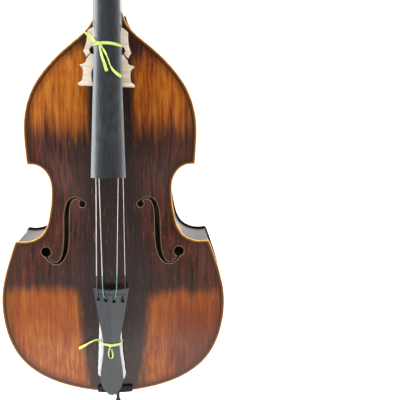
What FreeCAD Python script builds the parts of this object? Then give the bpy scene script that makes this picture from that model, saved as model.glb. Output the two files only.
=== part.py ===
"""Double bass, three-quarter size, as it travels: bridge and slack strings tied down.

Frame: millimetres, +Z up, -Y is the front (strings side), +X the player's treble side.
The origin is the centre of the underside of the endpin's rubber foot, and the endpin's
axis is the Z axis. The ribs' mid depth lies on Y = 0.
"""
import FreeCAD, Part
import math
import os
import Sketcher
from FreeCAD import Placement, Rotation, Vector

X_AXIS = Vector(1, 0, 0)
Y_AXIS = Vector(0, 1, 0)
Z_AXIS = Vector(0, 0, 1)

# Driving dimensions, in millimetres and degrees. They fill the spreadsheet.
DRIVING = {
    # body
    "body_bottom": 100, "body_length": 1110, "lower_bout": 649.2, "upper_bout": 486.2,
    "waist_width": 343.2, "rib_depth": 205, "plate_edge": 4.5, "top_arch": 32,
    "back_arch": 34, "fold_height": 790, "neck_end_depth": 52, "fold_radius": 800,
    "rib_inset": 5, "rib_thickness": 3, "lining_width": 6, "lining_depth": 12,
    "hollow_inset": 24, "hollow_step": 0.9, "hollow_ratio": 0.88,
    "purfling_inset": 9, "purfling_width": 2.4, "purfling_depth": 1.2,
    "button_radius": 26, "button_height": 1112, "post_place": 446, "post_offset": 42,
    "soundpost_radius": 9, "bar_offset": 45, "bar_width": 20,
    # neck, fingerboard and head
    "nut_height": 1546, "nut_plane": -64.2, "board_slope": 9.03, "board_length": 885,
    "board_end_half": 47, "nut_half": 20, "board_edge": 9, "board_end_crown": 92,
    "nut_crown": 65, "heel_height": 1108, "tenon_depth": 22, "nut_thick": 8, "nut_rise": 2.5,
    "head_slope": 16, "cheek_half": 25, "slot_half": 14, "slot_start": 14, "slot_end": 192,
    "slot_depth": 38,
    # tuning machines
    "first_post": 52, "post_pitch": 40, "post_drop": 20, "post_radius": 6,
    "journal_gap": 0.05, "gear_teeth": 20, "gear_pitch_radius": 15, "gear_width": 4,
    "gear_gap": 1, "plate_thick": 3, "plate_long": 72, "plate_wide": 42,
    "worm_pitch_radius": 4.5, "shaft_radius": 2.5, "lug_thick": 4, "wrap_radius": 9,
    # bridge, tailpiece and strings
    "bridge_height": 154, "bridge_foot_thick": 20, "bridge_top_thick": 11,
    "bridge_foot_place": 908, "string_gap": 3.2, "tail_top": 338, "tail_slope": 4.3,
    "tail_thick": 8, "tail_ridge": 15, "foam_thick": 14, "saddle_half": 51,
    "saddle_height": 20, "saddle_rise": 9,
    # endpin
    "rod_radius": 5, "rod_length": 330, "foot_radius": 12, "foot_height": 30,
    "collar_top": 20, "collar_tip": 8, "collar_height": 36, "plug_radius": 14,
    "screw_radius": 3, "wire_radius": 1.5,
}

doc = FreeCAD.newDocument("DoubleBass")
sheet = doc.addObject("Spreadsheet::Sheet", "Dimensions")
for row, (alias, value) in enumerate(DRIVING.items(), start=1):
    sheet.set(f"A{row}", alias)
    sheet.set(f"B{row}", str(value))
    sheet.setAlias(f"B{row}", alias)
doc.recompute()


def dim(alias):
    """A driving dimension as the sheet holds it."""
    return float(sheet.get(alias))


BASE = dim("body_bottom")
LENGTH = dim("body_length")
FRONT_RIM = -dim("rib_depth") / 2
FRONT_GLUE = FRONT_RIM + dim("plate_edge")
BACK_GLUE = -FRONT_GLUE
EXTENT = 400.0
parts = {}


def part(name, obj):
    """Names a finished sub-part: its label is its file's name."""
    obj.Label = name
    parts[name] = obj
    return obj


def shaped(name, shape, placement=None):
    """A document object whose shape is worked out here from the sheet."""
    obj = doc.addObject("Part::Feature", name)
    obj.Shape = shape
    obj.Placement = placement or Placement()
    return obj


def cut(name, base, *tools):
    for number, tool in enumerate(tools):
        step = doc.addObject("Part::Cut", f"{name}_cut{number}")
        step.Base = base
        step.Tool = tool
        base = step
    return base


def common(name, *shapes):
    obj = doc.addObject("Part::MultiCommon", name)
    obj.Shapes = list(shapes)
    return obj


def fuse(name, *shapes):
    obj = doc.addObject("Part::MultiFuse", name)
    obj.Shapes = list(shapes)
    return obj


def solid(kind, name, place=(0, 0, 0), turn=Rotation(), **sizes):
    """A Part primitive whose sizes are expressions on the sheet, or plain numbers."""
    obj = doc.addObject(f"Part::{kind}", name)
    for prop, value in sizes.items():
        if isinstance(value, str):
            obj.setExpression(prop, value)
        else:
            setattr(obj, prop, value)
    obj.Placement = Placement(Vector(*place), turn)
    return obj


def of_sheet(alias):
    return f"Dimensions.{alias}"


# ---------------------------------------------------------------- outline of the plates
# Half outline from the neck down, as fractions of the half width and the body length.
UPPER_BOUT = [(0.160, 0.9946), (0.192, 0.973), (0.433, 0.919), (0.698, 0.865), (0.878, 0.811),
              (0.971, 0.757), (1.0, 0.7027), (0.989, 0.6486), (0.980, 0.6216)]
WAIST = [(1.385, 0.6150), (1.195, 0.6111), (1.045, 0.5865), (1.0, 0.5405), (1.045, 0.4829),
         (1.196, 0.4302), (1.399, 0.4157), (1.605, 0.4166)]
LOWER_BOUT = [(0.863, 0.4122), (0.925, 0.3604), (0.978, 0.3063), (1.0, 0.2523), (0.987, 0.1982),
              (0.938, 0.1441), (0.832, 0.0901), (0.694, 0.0541), (0.4224, 0.0180),
              (0.191, 0.0036), (0.0, 0.0)]


def scaled(points, width_alias):
    half = dim(width_alias) / 2
    return [Vector(x * half, 0, BASE + z * LENGTH) for x, z in points]


def spline(points):
    curve = Part.BSplineCurve()
    curve.interpolate(points)
    return curve


def mirrored(points):
    return [Vector(-p.x, p.y, p.z) for p in reversed(points)]


def inward(curve, point, inset):
    """The point moved into the body by inset, square to the curve that runs down the right side."""
    tangent = curve.tangent(curve.parameter(point))[0]
    tangent = tangent if isinstance(tangent, Vector) else Vector(*tangent)
    return point + Vector(tangent.z, 0, -tangent.x).normalize() * inset


def crossing(a, along_a, b, along_b):
    """Where two lines in the XZ plane meet."""
    spread = along_a.x * along_b.z - along_a.z * along_b.x
    reach = ((b.x - a.x) * along_b.z - (b.z - a.z) * along_b.x) / spread
    return a + along_a * reach


def outline(inset=0.0):
    """The closed outline of the plates, or the same line moved in by inset."""
    runs = [scaled(UPPER_BOUT, "upper_bout"), scaled(WAIST, "waist_width"),
            scaled(LOWER_BOUT, "lower_bout")]
    runs[2] = runs[2] + mirrored(runs[2])[1:]
    if inset:
        curves = [spline(run) for run in runs]
        moved = [[inward(curve, p, inset) for p in run] for curve, run in zip(curves, runs)]
        top = Vector(0, 0, runs[0][0].z - inset)
        lines = []
        for curve, run in zip(curves, moved):
            first = curve.tangent(curve.FirstParameter)[0]
            last = curve.tangent(curve.LastParameter)[0]
            lines.append((Vector(first), Vector(last)))
        moved[0][0] = crossing(top, X_AXIS, moved[0][0], lines[0][0])
        for upper, lower in ((0, 1), (1, 2)):
            corner = crossing(moved[upper][-1], lines[upper][1], moved[lower][0], lines[lower][0])
            moved[upper][-1] = corner
            moved[lower][0] = corner
        moved[2][-1] = Vector(-moved[2][0].x, 0, moved[2][0].z)
        runs = moved
    upper, waist, lower = runs
    edges = [Part.makeLine(mirrored(upper)[-1], upper[0])]
    for run in (upper, waist, lower, mirrored(waist), mirrored(upper)):
        start = edges[-1].Vertexes[-1].Point if len(edges) > 1 else upper[0]
        if start.distanceToPoint(run[0]) > 0.01:
            edges.append(Part.makeLine(start, run[0]))
        edges.append(spline(run).toShape())
    return Part.Wire(edges)


def prism(name, inset, y_start, y_end):
    face = Part.Face(outline(inset))
    face.translate(Y_AXIS * y_start)
    return shaped(name, face.extrude(Y_AXIS * (y_end - y_start)))


# ---------------------------------------------------------------- arching
def ease(low, high, share):
    return low + (high - low) * share * share * (3 - 2 * share)


def arch_half_width(height):
    """Half width of the arched field: it flows past the corners, which stay flat."""
    lower = dim("lower_bout") / 2 - 7
    waist = dim("waist_width") / 2 - 6
    upper = dim("upper_bout") / 2 - 5
    if height <= 280:
        return lower * math.sqrt(max(0.0, 1 - ((280 - height) / 272) ** 2))
    if height <= 585:
        return ease(lower, waist, (height - 280) / 305)
    if height <= 775:
        return ease(waist, upper, (height - 585) / 190)
    return upper * max(0.0, 1 - ((height - 775) / 328) ** 2) ** 0.85


def arch(x, height, rise):
    """Height of the arching over the rim at a place on the plate."""
    along = abs(2 * height / LENGTH - 1)
    half = arch_half_width(height) if along < 1 else 0.0
    if abs(x) >= half:
        return 0.0
    across = (x / half) ** 2
    return rise * (1 - across) ** 2 * (1 + 0.6 * across) * (1 - along ** 3.2) ** 1.2


def back_line(height):
    """Y of the back's glue face: straight, then falling towards the neck."""
    fall = (BACK_GLUE - dim("neck_end_depth")) / (LENGTH - dim("fold_height"))
    reach = dim("fold_radius") * math.tan(math.atan(fall) / 2)
    start = dim("fold_height") - reach
    if height <= start:
        return BACK_GLUE
    turn = min(1.0, (height - start) / (reach * (1 + math.cos(math.atan(fall)))))
    drop = dim("fold_radius") * (1 - math.cos(math.asin(math.sin(math.atan(fall)) * turn)))
    beyond = max(0.0, height - start - reach * (1 + math.cos(math.atan(fall))))
    return BACK_GLUE - drop - beyond * fall


def height_field(name, level, reach):
    """A solid between a smooth surface Y = level(x, height) and the same surface moved by reach."""
    columns, rows = 27, 43
    grid = []
    for column in range(columns):
        x = -350 + 700 * column / (columns - 1)
        heights = [-40 + 1220 * row / (rows - 1) for row in range(rows)]
        grid.append([Vector(x, level(x, tall), BASE + tall) for tall in heights])
    surface = Part.BSplineSurface()
    surface.interpolate(grid)
    return shaped(name, surface.toShape().extrude(Y_AXIS * reach))


def back_profile(front=FRONT_GLUE):
    """The inside of the body seen from the side: straight, arc, canted line to the neck."""
    fall = math.atan((BACK_GLUE - dim("neck_end_depth")) / (LENGTH - dim("fold_height")))
    reach = dim("fold_radius") * math.tan(fall / 2)
    fold = BASE + dim("fold_height")
    start = Vector(-EXTENT, BACK_GLUE, fold - reach)
    end = Vector(-EXTENT, BACK_GLUE - reach * math.sin(fall), fold + reach * math.cos(fall))
    radius = dim("fold_radius")
    middle = start + Vector(0, radius * (math.cos(fall / 2) - 1), radius * math.sin(fall / 2))
    far = end + Vector(0, -math.sin(fall), math.cos(fall)) * 2 * EXTENT
    low = Vector(-EXTENT, BACK_GLUE, BASE - EXTENT)
    front_low = Vector(-EXTENT, front, BASE - EXTENT)
    front_high = Vector(-EXTENT, front, far.z)
    arc = Part.Arc(start, middle, end).toShape()
    corners = [(end, far), (far, front_high), (front_high, front_low), (front_low, low),
               (low, start)]
    edges = [arc] + [Part.makeLine(a, b) for a, b in corners]
    return Part.Face(Part.Wire(Part.__sortEdges__(edges)))


inside = shaped("inside_of_body", back_profile().extrude(X_AXIS * 2 * EXTENT))


# ---------------------------------------------------------------- f-holes
# Centre line of the right f-hole and its width there, upper eye to lower eye.
F_LINE = [(80, 577, 4), (91, 587, 5), (103, 590, 6), (117, 581, 10), (126, 560, 13.5),
          (129.3, 528, 15), (129.6, 498, 15), (130.6, 468, 15), (134.5, 438, 14),
          (144, 412, 10), (161, 398.5, 6), (180, 405, 5), (190, 420, 8)]
F_EYES = ((82, 573, 10), (191, 430.7, 15))
F_NICKS = (122.3, 136.9, 3.0, 488)


def f_hole(side):
    line = spline([Vector(x, 0, z) for x, z, width in F_LINE])
    edges = []
    for sign in (1, -1):
        points = [inward(line, Vector(x, 0, z), sign * width / 2) for x, z, width in F_LINE]
        edges.append(points)
    right, left = edges
    rim = [spline(right).toShape(), Part.makeLine(right[-1], left[-1]),
           spline(left).toShape(), Part.makeLine(left[0], right[0])]
    pieces = [Part.Face(Part.Wire(Part.__sortEdges__(rim)))]
    for x, z, radius in F_EYES:
        pieces.append(Part.Face(Part.Wire(Part.Circle(Vector(x, 0, z), Y_AXIS, radius).toShape())))
    inner, outer, nick, tall = F_NICKS
    for x, lean in ((inner, -1), (outer, 1)):
        tip = Vector(x + lean * nick, 0, tall)
        pieces.append(Part.Face(Part.makePolygon([
            tip, Vector(x - lean, 0, tall + nick), Vector(x - lean, 0, tall - nick), tip])))
    solids = [face.extrude(Y_AXIS * 120) for face in pieces]
    hole = solids[0].fuse(solids[1:])
    return hole if side > 0 else hole.mirror(Vector(0, 0, 0), X_AXIS)


f_holes = [shaped(f"f_hole_{name}", f_hole(side), Placement(Vector(0, FRONT_RIM - 100, BASE),
                                                            Rotation()))
           for name, side in (("right", 1), ("left", -1))]

# ---------------------------------------------------------------- plates
rise_top = dim("top_arch")
rise_back = dim("back_arch")
edge = dim("plate_edge")
step = dim("hollow_step")
ratio = dim("hollow_ratio")


def neck_mortise(name):
    """The room that the neck's root takes in the top, the ribs and the neck block."""
    half = dim("nut_half") + 11
    low = BASE + dim("heel_height") - dim("tenon_depth")
    return solid("Box", name, (-half, FRONT_RIM - 60, low), Length=2 * half, Width=60 + 230,
                 Height=80)


top_outer = height_field("top_outer", lambda x, z: FRONT_RIM - arch(x, z, rise_top), 120)
top_inner = height_field("top_inner",
                         lambda x, z: FRONT_GLUE - step - ratio * arch(x, z, rise_top), 230)
top_board = prism("top_board", 0, FRONT_GLUE, FRONT_RIM - 60)
top_blank = common("top_blank", top_board, top_outer)
top_well = common("top_well", prism("top_well_field", dim("hollow_inset"), FRONT_GLUE + 1,
                                    FRONT_RIM - 60), top_inner)
saddle_room = solid("Box", "saddle_room", (-dim("saddle_half"), FRONT_RIM - 30, BASE - 20),
                    Length=2 * dim("saddle_half"), Width=30 + edge,
                    Height=20 + dim("saddle_height"))


def inlay(name, outer, reach, y_start, y_end, *rooms):
    """A purfling strip let into a plate's outer face, following the edge."""
    inset = dim("purfling_inset")
    strip = cut(f"{name}_strip", prism(f"{name}_outside", inset, y_start, y_end),
                prism(f"{name}_within", inset + dim("purfling_width"), y_start - 1, y_end + 1),
                *rooms)
    sunk = shaped(f"{name}_floor", outer.Shape.copy(), Placement(Y_AXIS * reach, Rotation()))
    return part(name, cut(name, common(f"{name}_band", strip, outer), sunk))


mortise = neck_mortise("neck_mortise")
sink = dim("purfling_depth")
top_purfling = inlay("top_purfling", top_outer, sink, FRONT_RIM - 12, FRONT_GLUE, saddle_room,
                     mortise)
top_plate = part("top_plate", cut("top_plate", top_blank, top_well, top_purfling, *f_holes,
                                  saddle_room, mortise))

back_outer = height_field("back_outer",
                          lambda x, z: back_line(z) + edge + arch(x, z, rise_back), -160)
back_inner = height_field("back_inner",
                          lambda x, z: back_line(z) + step + ratio * arch(x, z, rise_back), -230)
back_board = prism("back_board", 0, -20, BACK_GLUE + 80)
button = solid("Cylinder", "button_round", (0, -20, BASE + dim("button_height")),
               Rotation(X_AXIS, -90), Radius=of_sheet("button_radius"), Height=180)
button_tongue = solid("Box", "button_tongue", (-dim("button_radius"), -20, BASE + 1080),
                      Length=2 * dim("button_radius"), Width=180,
                      Height=dim("button_height") - 1080)
back_field = fuse("back_field", back_board, button, button_tongue)
back_blank = common("back_blank", back_field, back_outer)
back_well = common("back_well", prism("back_well_field", dim("hollow_inset"), -20,
                                      BACK_GLUE + 80), back_inner)
back_purfling = inlay("back_purfling", back_outer, -sink, 40, BACK_GLUE + 20)
back_plate = part("back_plate", cut("back_plate", back_blank, inside, back_well,
                                    back_purfling))

# ---------------------------------------------------------------- ribs, blocks and linings
wall = dim("rib_inset") + dim("rib_thickness")
chamber = common("chamber", prism("chamber_field", wall, FRONT_GLUE, BACK_GLUE), inside)
rib_wall = cut("rib_wall", common("rib_field", prism("rib_field_prism", dim("rib_inset"),
                                                     FRONT_GLUE, BACK_GLUE), inside), chamber)


def corner_of(curve_end, inset):
    """The mitred corner between two runs of the inset outline, right side."""
    points = [v.Point for v in outline(inset).Vertexes if v.Point.x > 0]
    return min(points, key=lambda p: p.distanceToPoint(curve_end))


def zone(name, corners):
    """A wedge of space, drawn in the XZ plane, that picks out one rib or block."""
    points = [Vector(x, -150, z) for x, z in corners]
    face = Part.Face(Part.makePolygon(points + points[:1]))
    return shaped(name, face.extrude(Y_AXIS * 300))


def mitre(rough, inset_out, inset_in):
    outer = corner_of(rough, inset_out)
    inner = corner_of(rough, inset_in)
    return outer, (outer - inner).normalize()


upper_tip = scaled(UPPER_BOUT, "upper_bout")[-1]
lower_tip = scaled(LOWER_BOUT, "lower_bout")[0]
upper_corner, upper_lean = mitre(upper_tip, dim("rib_inset"), wall)
lower_corner, lower_lean = mitre(lower_tip, dim("rib_inset"), wall)
upper_corner = upper_corner - Z_AXIS * 0.5
lower_corner = lower_corner + Z_AXIS * 0.5


def on_mitre(corner, lean, x=None, reach=0.0):
    """A point on a corner's mitre line, at a distance outside or at a given x."""
    if x is not None:
        reach = (x - corner.x) / lean.x
    point = corner + lean * reach
    return point.x, point.z


roof = BASE + LENGTH + 100
upper_zone = zone("upper_zone", [on_mitre(upper_corner, upper_lean, reach=100), (EXTENT, roof),
                                 (0, roof), on_mitre(upper_corner, upper_lean, x=0)])
lower_zone = zone("lower_zone", [on_mitre(lower_corner, lower_lean, reach=30),
                                 (EXTENT, lower_corner.z + 30), (EXTENT, BASE - 50),
                                 (0, BASE - 50), on_mitre(lower_corner, lower_lean, x=0)])
right_half = zone("right_half", [(0, BASE - 50), (EXTENT, BASE - 50), (EXTENT, roof), (0, roof)])
plug_bore = solid("Cylinder", "plug_bore", (0, 0, BASE - 20), Radius=of_sheet("plug_radius"),
                  Height=120)
right_wall = common("right_wall", rib_wall, right_half)


def largest(name, obj):
    """The main solid of a piece, without the splinters that its trimming leaves."""
    doc.recompute()
    return shaped(name, max(obj.Shape.Solids, key=lambda piece: piece.Volume))


right_ribs = {
    "upper_bout_rib": cut("upper_rib", common("upper_rib_field", right_wall, upper_zone), mortise),
    "waist_rib": largest("waist_rib", cut("waist_rib_field", right_wall, upper_zone, lower_zone)),
    "lower_bout_rib": cut("lower_rib", common("lower_rib_field", right_wall, lower_zone),
                          plug_bore),
}


def mirror_of(name, source):
    obj = doc.addObject("Part::Mirroring", name)
    obj.Source = source
    obj.Normal = X_AXIS
    return obj


for rib_name, rib in right_ribs.items():
    part(f"{rib_name}_treble", rib)
    part(f"{rib_name}_bass", mirror_of(f"{rib_name}_left", rib))


def block(name, low, high, *tools):
    """A block glued inside the ribs: a box trimmed by the chamber."""
    size = Vector(*high) - Vector(*low)
    box = solid("Box", f"{name}_box", low, Length=size.x, Width=size.y, Height=size.z)
    return cut(name, common(f"{name}_field", box, chamber), *tools)


neck_block = part("neck_block", block("neck_block", (-80, -150, BASE + 1030),
                                      (80, 150, BASE + LENGTH), mortise))
end_block = part("end_block", block("end_block", (-70, -150, BASE), (70, 150, BASE + 62),
                                    plug_bore))
upper_block = block("upper_block", (186, -150, upper_corner.z - 10),
                    (240, 150, upper_corner.z + 48))
lower_block = block("lower_block", (216, -150, lower_corner.z - 52),
                    (290, 150, lower_corner.z + 10))
corner_blocks = doc.addObject("Part::Compound", "corner_blocks")
corner_blocks.Links = [upper_block, lower_block, mirror_of("upper_block_left", upper_block),
                       mirror_of("lower_block_left", lower_block)]
part("corner_blocks", corner_blocks)

lining_band = cut("lining_band", chamber,
                  prism("lining_void", wall + dim("lining_width"), FRONT_GLUE - 1,
                        BACK_GLUE + 1))
deep = dim("lining_depth")
front_slice = solid("Box", "front_slice", (-EXTENT, FRONT_GLUE, BASE - 50), Length=2 * EXTENT,
                    Width=of_sheet("lining_depth"), Height=LENGTH + 100)
inside_moved = shaped("inside_moved", inside.Shape.copy(), Placement(Y_AXIS * -deep, Rotation()))
blocks = (neck_block, end_block, corner_blocks, mortise)
part("top_linings", cut("top_linings", common("top_lining_field", lining_band, front_slice),
                        *blocks))
part("back_linings", cut("back_linings", lining_band, inside_moved, *blocks))

# The bass bar runs under the bass foot of the bridge; the post stands under the treble foot.
bar_low, bar_high = BASE + 215, BASE + 985
bar_x = -dim("bar_offset") - dim("bar_width") / 2
bar_ends = [Vector(bar_x, -108, bar_low), Vector(bar_x, -96, (bar_low + bar_high) / 2),
            Vector(bar_x, -108, bar_high)]
bar_edges = [Part.Arc(*bar_ends).toShape(),
             Part.makeLine(bar_ends[2], Vector(bar_x, -140, bar_high)),
             Part.makeLine(Vector(bar_x, -140, bar_high), Vector(bar_x, -140, bar_low)),
             Part.makeLine(Vector(bar_x, -140, bar_low), bar_ends[0])]
bar_blank = shaped("bar_blank", Part.Face(Part.Wire(bar_edges)).extrude(X_AXIS * dim("bar_width")))
part("bass_bar", common("bass_bar", bar_blank, top_inner))
post_blank = solid("Cylinder", "post_blank", (dim("post_offset"), -140, BASE + dim("post_place")),
                   Rotation(X_AXIS, -90), Radius=of_sheet("soundpost_radius"), Height=280)
part("sound_post", common("sound_post", post_blank, top_inner, back_inner))

# ---------------------------------------------------------------- neck, head and fingerboard
NUT_Z = BASE + dim("nut_height")
SLOPE = dim("board_slope")
BOARD_END = NUT_Z - dim("board_length")


def plane_y(z):
    """Y of the plane where the fingerboard is glued to the neck."""
    return dim("nut_plane") - (NUT_Z - z) * math.tan(math.radians(SLOPE))


def board_half(z):
    share = (NUT_Z - z) / dim("board_length")
    return dim("nut_half") + (dim("board_end_half") - dim("nut_half")) * share


def board_section(z, crown, rise=0.0):
    """The fingerboard across: flat below, square edges, crowned on top."""
    half, low = board_half(z), plane_y(z)
    high = low - dim("board_edge") - rise
    sag = crown - math.sqrt(crown ** 2 - half ** 2)
    corners = [Vector(-half, low, z), Vector(half, low, z), Vector(half, high, z),
               Vector(-half, high, z)]
    edges = [Part.makeLine(corners[0], corners[1]), Part.makeLine(corners[1], corners[2]),
             Part.Arc(corners[2], Vector(0, high - sag, z), corners[3]).toShape(),
             Part.makeLine(corners[3], corners[0])]
    return Part.Wire(edges)


def hollow_section(z):
    """The scoop under the free end of the fingerboard."""
    half, low = board_half(z) - 10, plane_y(z)
    edge_line = Part.makeLine(Vector(-half, low + 1, z), Vector(half, low + 1, z))
    scoop = Part.Arc(Vector(half, low + 1, z), Vector(0, low - 7, z), Vector(-half, low + 1, z))
    return Part.Wire([edge_line, scoop.toShape()])


heel = BASE + dim("heel_height")
board = shaped("board_blank", Part.makeLoft([board_section(BOARD_END, dim("board_end_crown")),
                                             board_section(NUT_Z, dim("nut_crown"))], True, True))
scoop = shaped("board_scoop", Part.makeLoft([hollow_section(BOARD_END - 1),
                                             hollow_section(heel - 25)], True, True))
part("fingerboard", cut("fingerboard", board, scoop))

# Heel and shaft: height over the body's bottom edge, and depth behind the glue plane.
SHAFT = [(1099, 190), (1112, 186), (1138, 176), (1152, 162), (1168, 130), (1185, 91), (1205, 60),
         (1235, 41), (1290, 36), (1400, 34), (1540, 32), (1554, 32)]
D_SHAPE = [(1, 0), (0.97, 0.35), (0.82, 0.72), (0.48, 0.94), (0, 1)]


def shaft_section(height, depth):
    z = BASE + height
    half = min(board_half(z), dim("nut_half") + 11)
    low = plane_y(z)
    right = [Vector(half * across, low + depth * back, z) for across, back in D_SHAPE]
    curve = spline(right + [Vector(-p.x, p.y, z) for p in reversed(right[:-1])]).toShape()
    return Part.Wire([curve, Part.makeLine(Vector(-half, low, z), Vector(half, low, z))])


shaft = shaped("neck_shaft", Part.makeLoft([shaft_section(*cell) for cell in SHAFT], True))
root_half = dim("nut_half") + 11
root_low = heel - dim("tenon_depth")
root_block = solid("Box", "neck_root_block", (-root_half, -EXTENT, root_low),
                   Length=2 * root_half, Width=2 * EXTENT, Height=1100 - dim("heel_height")
                   + dim("tenon_depth"))
far_z = NUT_Z + 300
wood_side = [Vector(-EXTENT, plane_y(BASE), BASE), Vector(-EXTENT, plane_y(far_z), far_z),
             Vector(-EXTENT, EXTENT, far_z), Vector(-EXTENT, EXTENT, BASE)]
behind_board = shaped("behind_board", Part.Face(Part.makePolygon(
    wood_side + wood_side[:1])).extrude(X_AXIS * 2 * EXTENT))
before_back = shaped("before_back", back_profile(-EXTENT).extrude(X_AXIS * 2 * EXTENT))
root = common("neck_root", root_block, behind_board, before_back)
shaft_trim = common("shaft_trim", shaft, before_back)

# The head leans back from the nut. In its frame x is across, q is depth, p is along it.
HEAD = Placement(Vector(0, plane_y(NUT_Z), NUT_Z), Rotation(X_AXIS, -dim("head_slope")))


def in_head(x, q, p, turn=Rotation()):
    return HEAD.multiply(Placement(Vector(x, q, p), turn))


def head_plate(name, corners, plane, low, high):
    """A flat outline in the head's frame, drawn in its side or front view and thickened."""
    if plane == "side":
        points = [Vector(low, q, p) for q, p in corners]
        reach = X_AXIS * (high - low)
    else:
        points = [Vector(x, low, p) for x, p in corners]
        reach = Y_AXIS * (high - low)
    face = Part.Face(Part.makePolygon(points + points[:1]))
    return shaped(name, face.extrude(reach), HEAD)


cheek = dim("cheek_half")
nut_half = dim("nut_half")
side_view = head_plate("head_side", [(0, 7), (0, 222), (46, 222), (44, 190), (49, 120), (52, 50),
                                     (51, 22), (45, 4), (33, -12)], "side", -cheek, cheek)
front_view = head_plate("head_front", [(-nut_half, -14), (nut_half, -14), (cheek, 7), (cheek, 206),
                                       (17, 222), (-17, 222), (-cheek, 206), (-cheek, 7)],
                        "front", -10, 70)
SCROLL = [(30, 17, 24, 240), (21, 24, 22, 242), (9, 30, 21, 243)]
scroll = []
for radius, half, q, p in SCROLL:
    turn = doc.addObject("Part::Cylinder", f"scroll_turn_{radius}")
    turn.Radius = radius
    turn.Height = 2 * half
    turn.Placement = in_head(-half, q, p, Rotation(Y_AXIS, 90))
    scroll.append(turn)
head_slot = doc.addObject("Part::Box", "head_slot")
head_slot.setExpression("Length", "2 * Dimensions.slot_half")
head_slot.setExpression("Width", "Dimensions.slot_depth + 30")
head_slot.setExpression("Height", "Dimensions.slot_end - Dimensions.slot_start")
head_slot.Placement = in_head(-dim("slot_half"), -30, dim("slot_start"))

# Tuning machines. Strings 1 and 2 go to the bass side, 3 and 4 to the treble side.
MACHINES = [(1, -1, 0), (4, 1, 1), (2, -1, 2), (3, 1, 3)]
WRAP_PLACE = {1: -9.5, 2: -4.5, 3: 4.5, 4: 9.5}
PITCH = 2 * math.pi * dim("gear_pitch_radius") / dim("gear_teeth")
GEAR_X = cheek + dim("plate_thick") + dim("gear_gap") + 5
WORM_DROP = dim("gear_pitch_radius") + dim("worm_pitch_radius")
JOURNAL = dim("post_radius") + dim("journal_gap")
bores = []


def cylinder(name, placement, radius, height):
    obj = doc.addObject("Part::Cylinder", name)
    for prop, value in (("Radius", radius), ("Height", height)):
        if isinstance(value, str):
            obj.setExpression(prop, value)
        else:
            setattr(obj, prop, value)
    obj.Placement = placement
    return obj


def box(name, placement, length, width, height):
    obj = doc.addObject("Part::Box", name)
    obj.Length, obj.Width, obj.Height = length, width, height
    obj.Placement = placement
    return obj


def gear_body(name, placement):
    """A spur wheel: a disc whose gaps are cut one by one round the rim."""
    body = doc.addObject("PartDesign::Body", name)
    flat = next(f for f in body.Origin.OriginFeatures if f.Role == "XY_Plane")
    disc = body.newObject("Sketcher::SketchObject", f"{name}_disc")
    disc.AttachmentSupport = (flat, [""])
    disc.MapMode = "FlatFace"
    disc.addGeometry(Part.Circle(Vector(), Z_AXIS, 15.9), False)
    disc.addConstraint(Sketcher.Constraint("Coincident", 0, 3, -1, 1))
    disc.addConstraint(Sketcher.Constraint("Radius", 0, 15.9))
    disc.setExpression("Constraints[1]", "Dimensions.gear_pitch_radius + 0.9")
    pad = body.newObject("PartDesign::Pad", f"{name}_pad")
    pad.Profile = disc
    pad.setExpression("Length", of_sheet("gear_width"))
    gap = body.newObject("Sketcher::SketchObject", f"{name}_gap")
    gap.AttachmentSupport = (flat, [""])
    gap.MapMode = "FlatFace"
    root, tip = dim("gear_pitch_radius") - 1.4, dim("gear_pitch_radius") + 2
    low, high = PITCH * 0.24, PITCH * 0.44
    corners = [Vector(root, -low, 0), Vector(tip, -high, 0), Vector(tip, high, 0),
               Vector(root, low, 0)]
    for start, end in zip(corners, corners[1:] + corners[:1]):
        gap.addGeometry(Part.LineSegment(start, end), False)
    for line in range(4):
        gap.addConstraint(Sketcher.Constraint("Coincident", line, 2, (line + 1) % 4, 1))
    doc.recompute()
    pocket = body.newObject("PartDesign::Pocket", f"{name}_pocket")
    pocket.Profile = gap
    pocket.Type = 1
    pocket.Reversed = True
    ring = body.newObject("PartDesign::PolarPattern", f"{name}_teeth")
    ring.Originals = [pocket]
    ring.Axis = (gap, ["N_Axis"])
    ring.Angle = 360
    ring.setExpression("Occurrences", of_sheet("gear_teeth"))
    body.Tip = ring
    body.Placement = placement
    return body


def worm_thread(name, placement):
    """One start of thread, three turns, of the wheel's own pitch."""
    core, crest = dim("worm_pitch_radius") - 1.3, dim("worm_pitch_radius") + 0.9
    helix = Part.makeHelix(PITCH, 3 * PITCH, core)
    profile = Part.makePolygon([Vector(core, 0, -1.2), Vector(crest, 0, -0.55),
                                Vector(crest, 0, 0.55), Vector(core, 0, 1.2),
                                Vector(core, 0, -1.2)])
    sweep = Part.Wire(helix).makePipeShell([profile], True, True)
    return shaped(name, sweep, placement)


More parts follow.
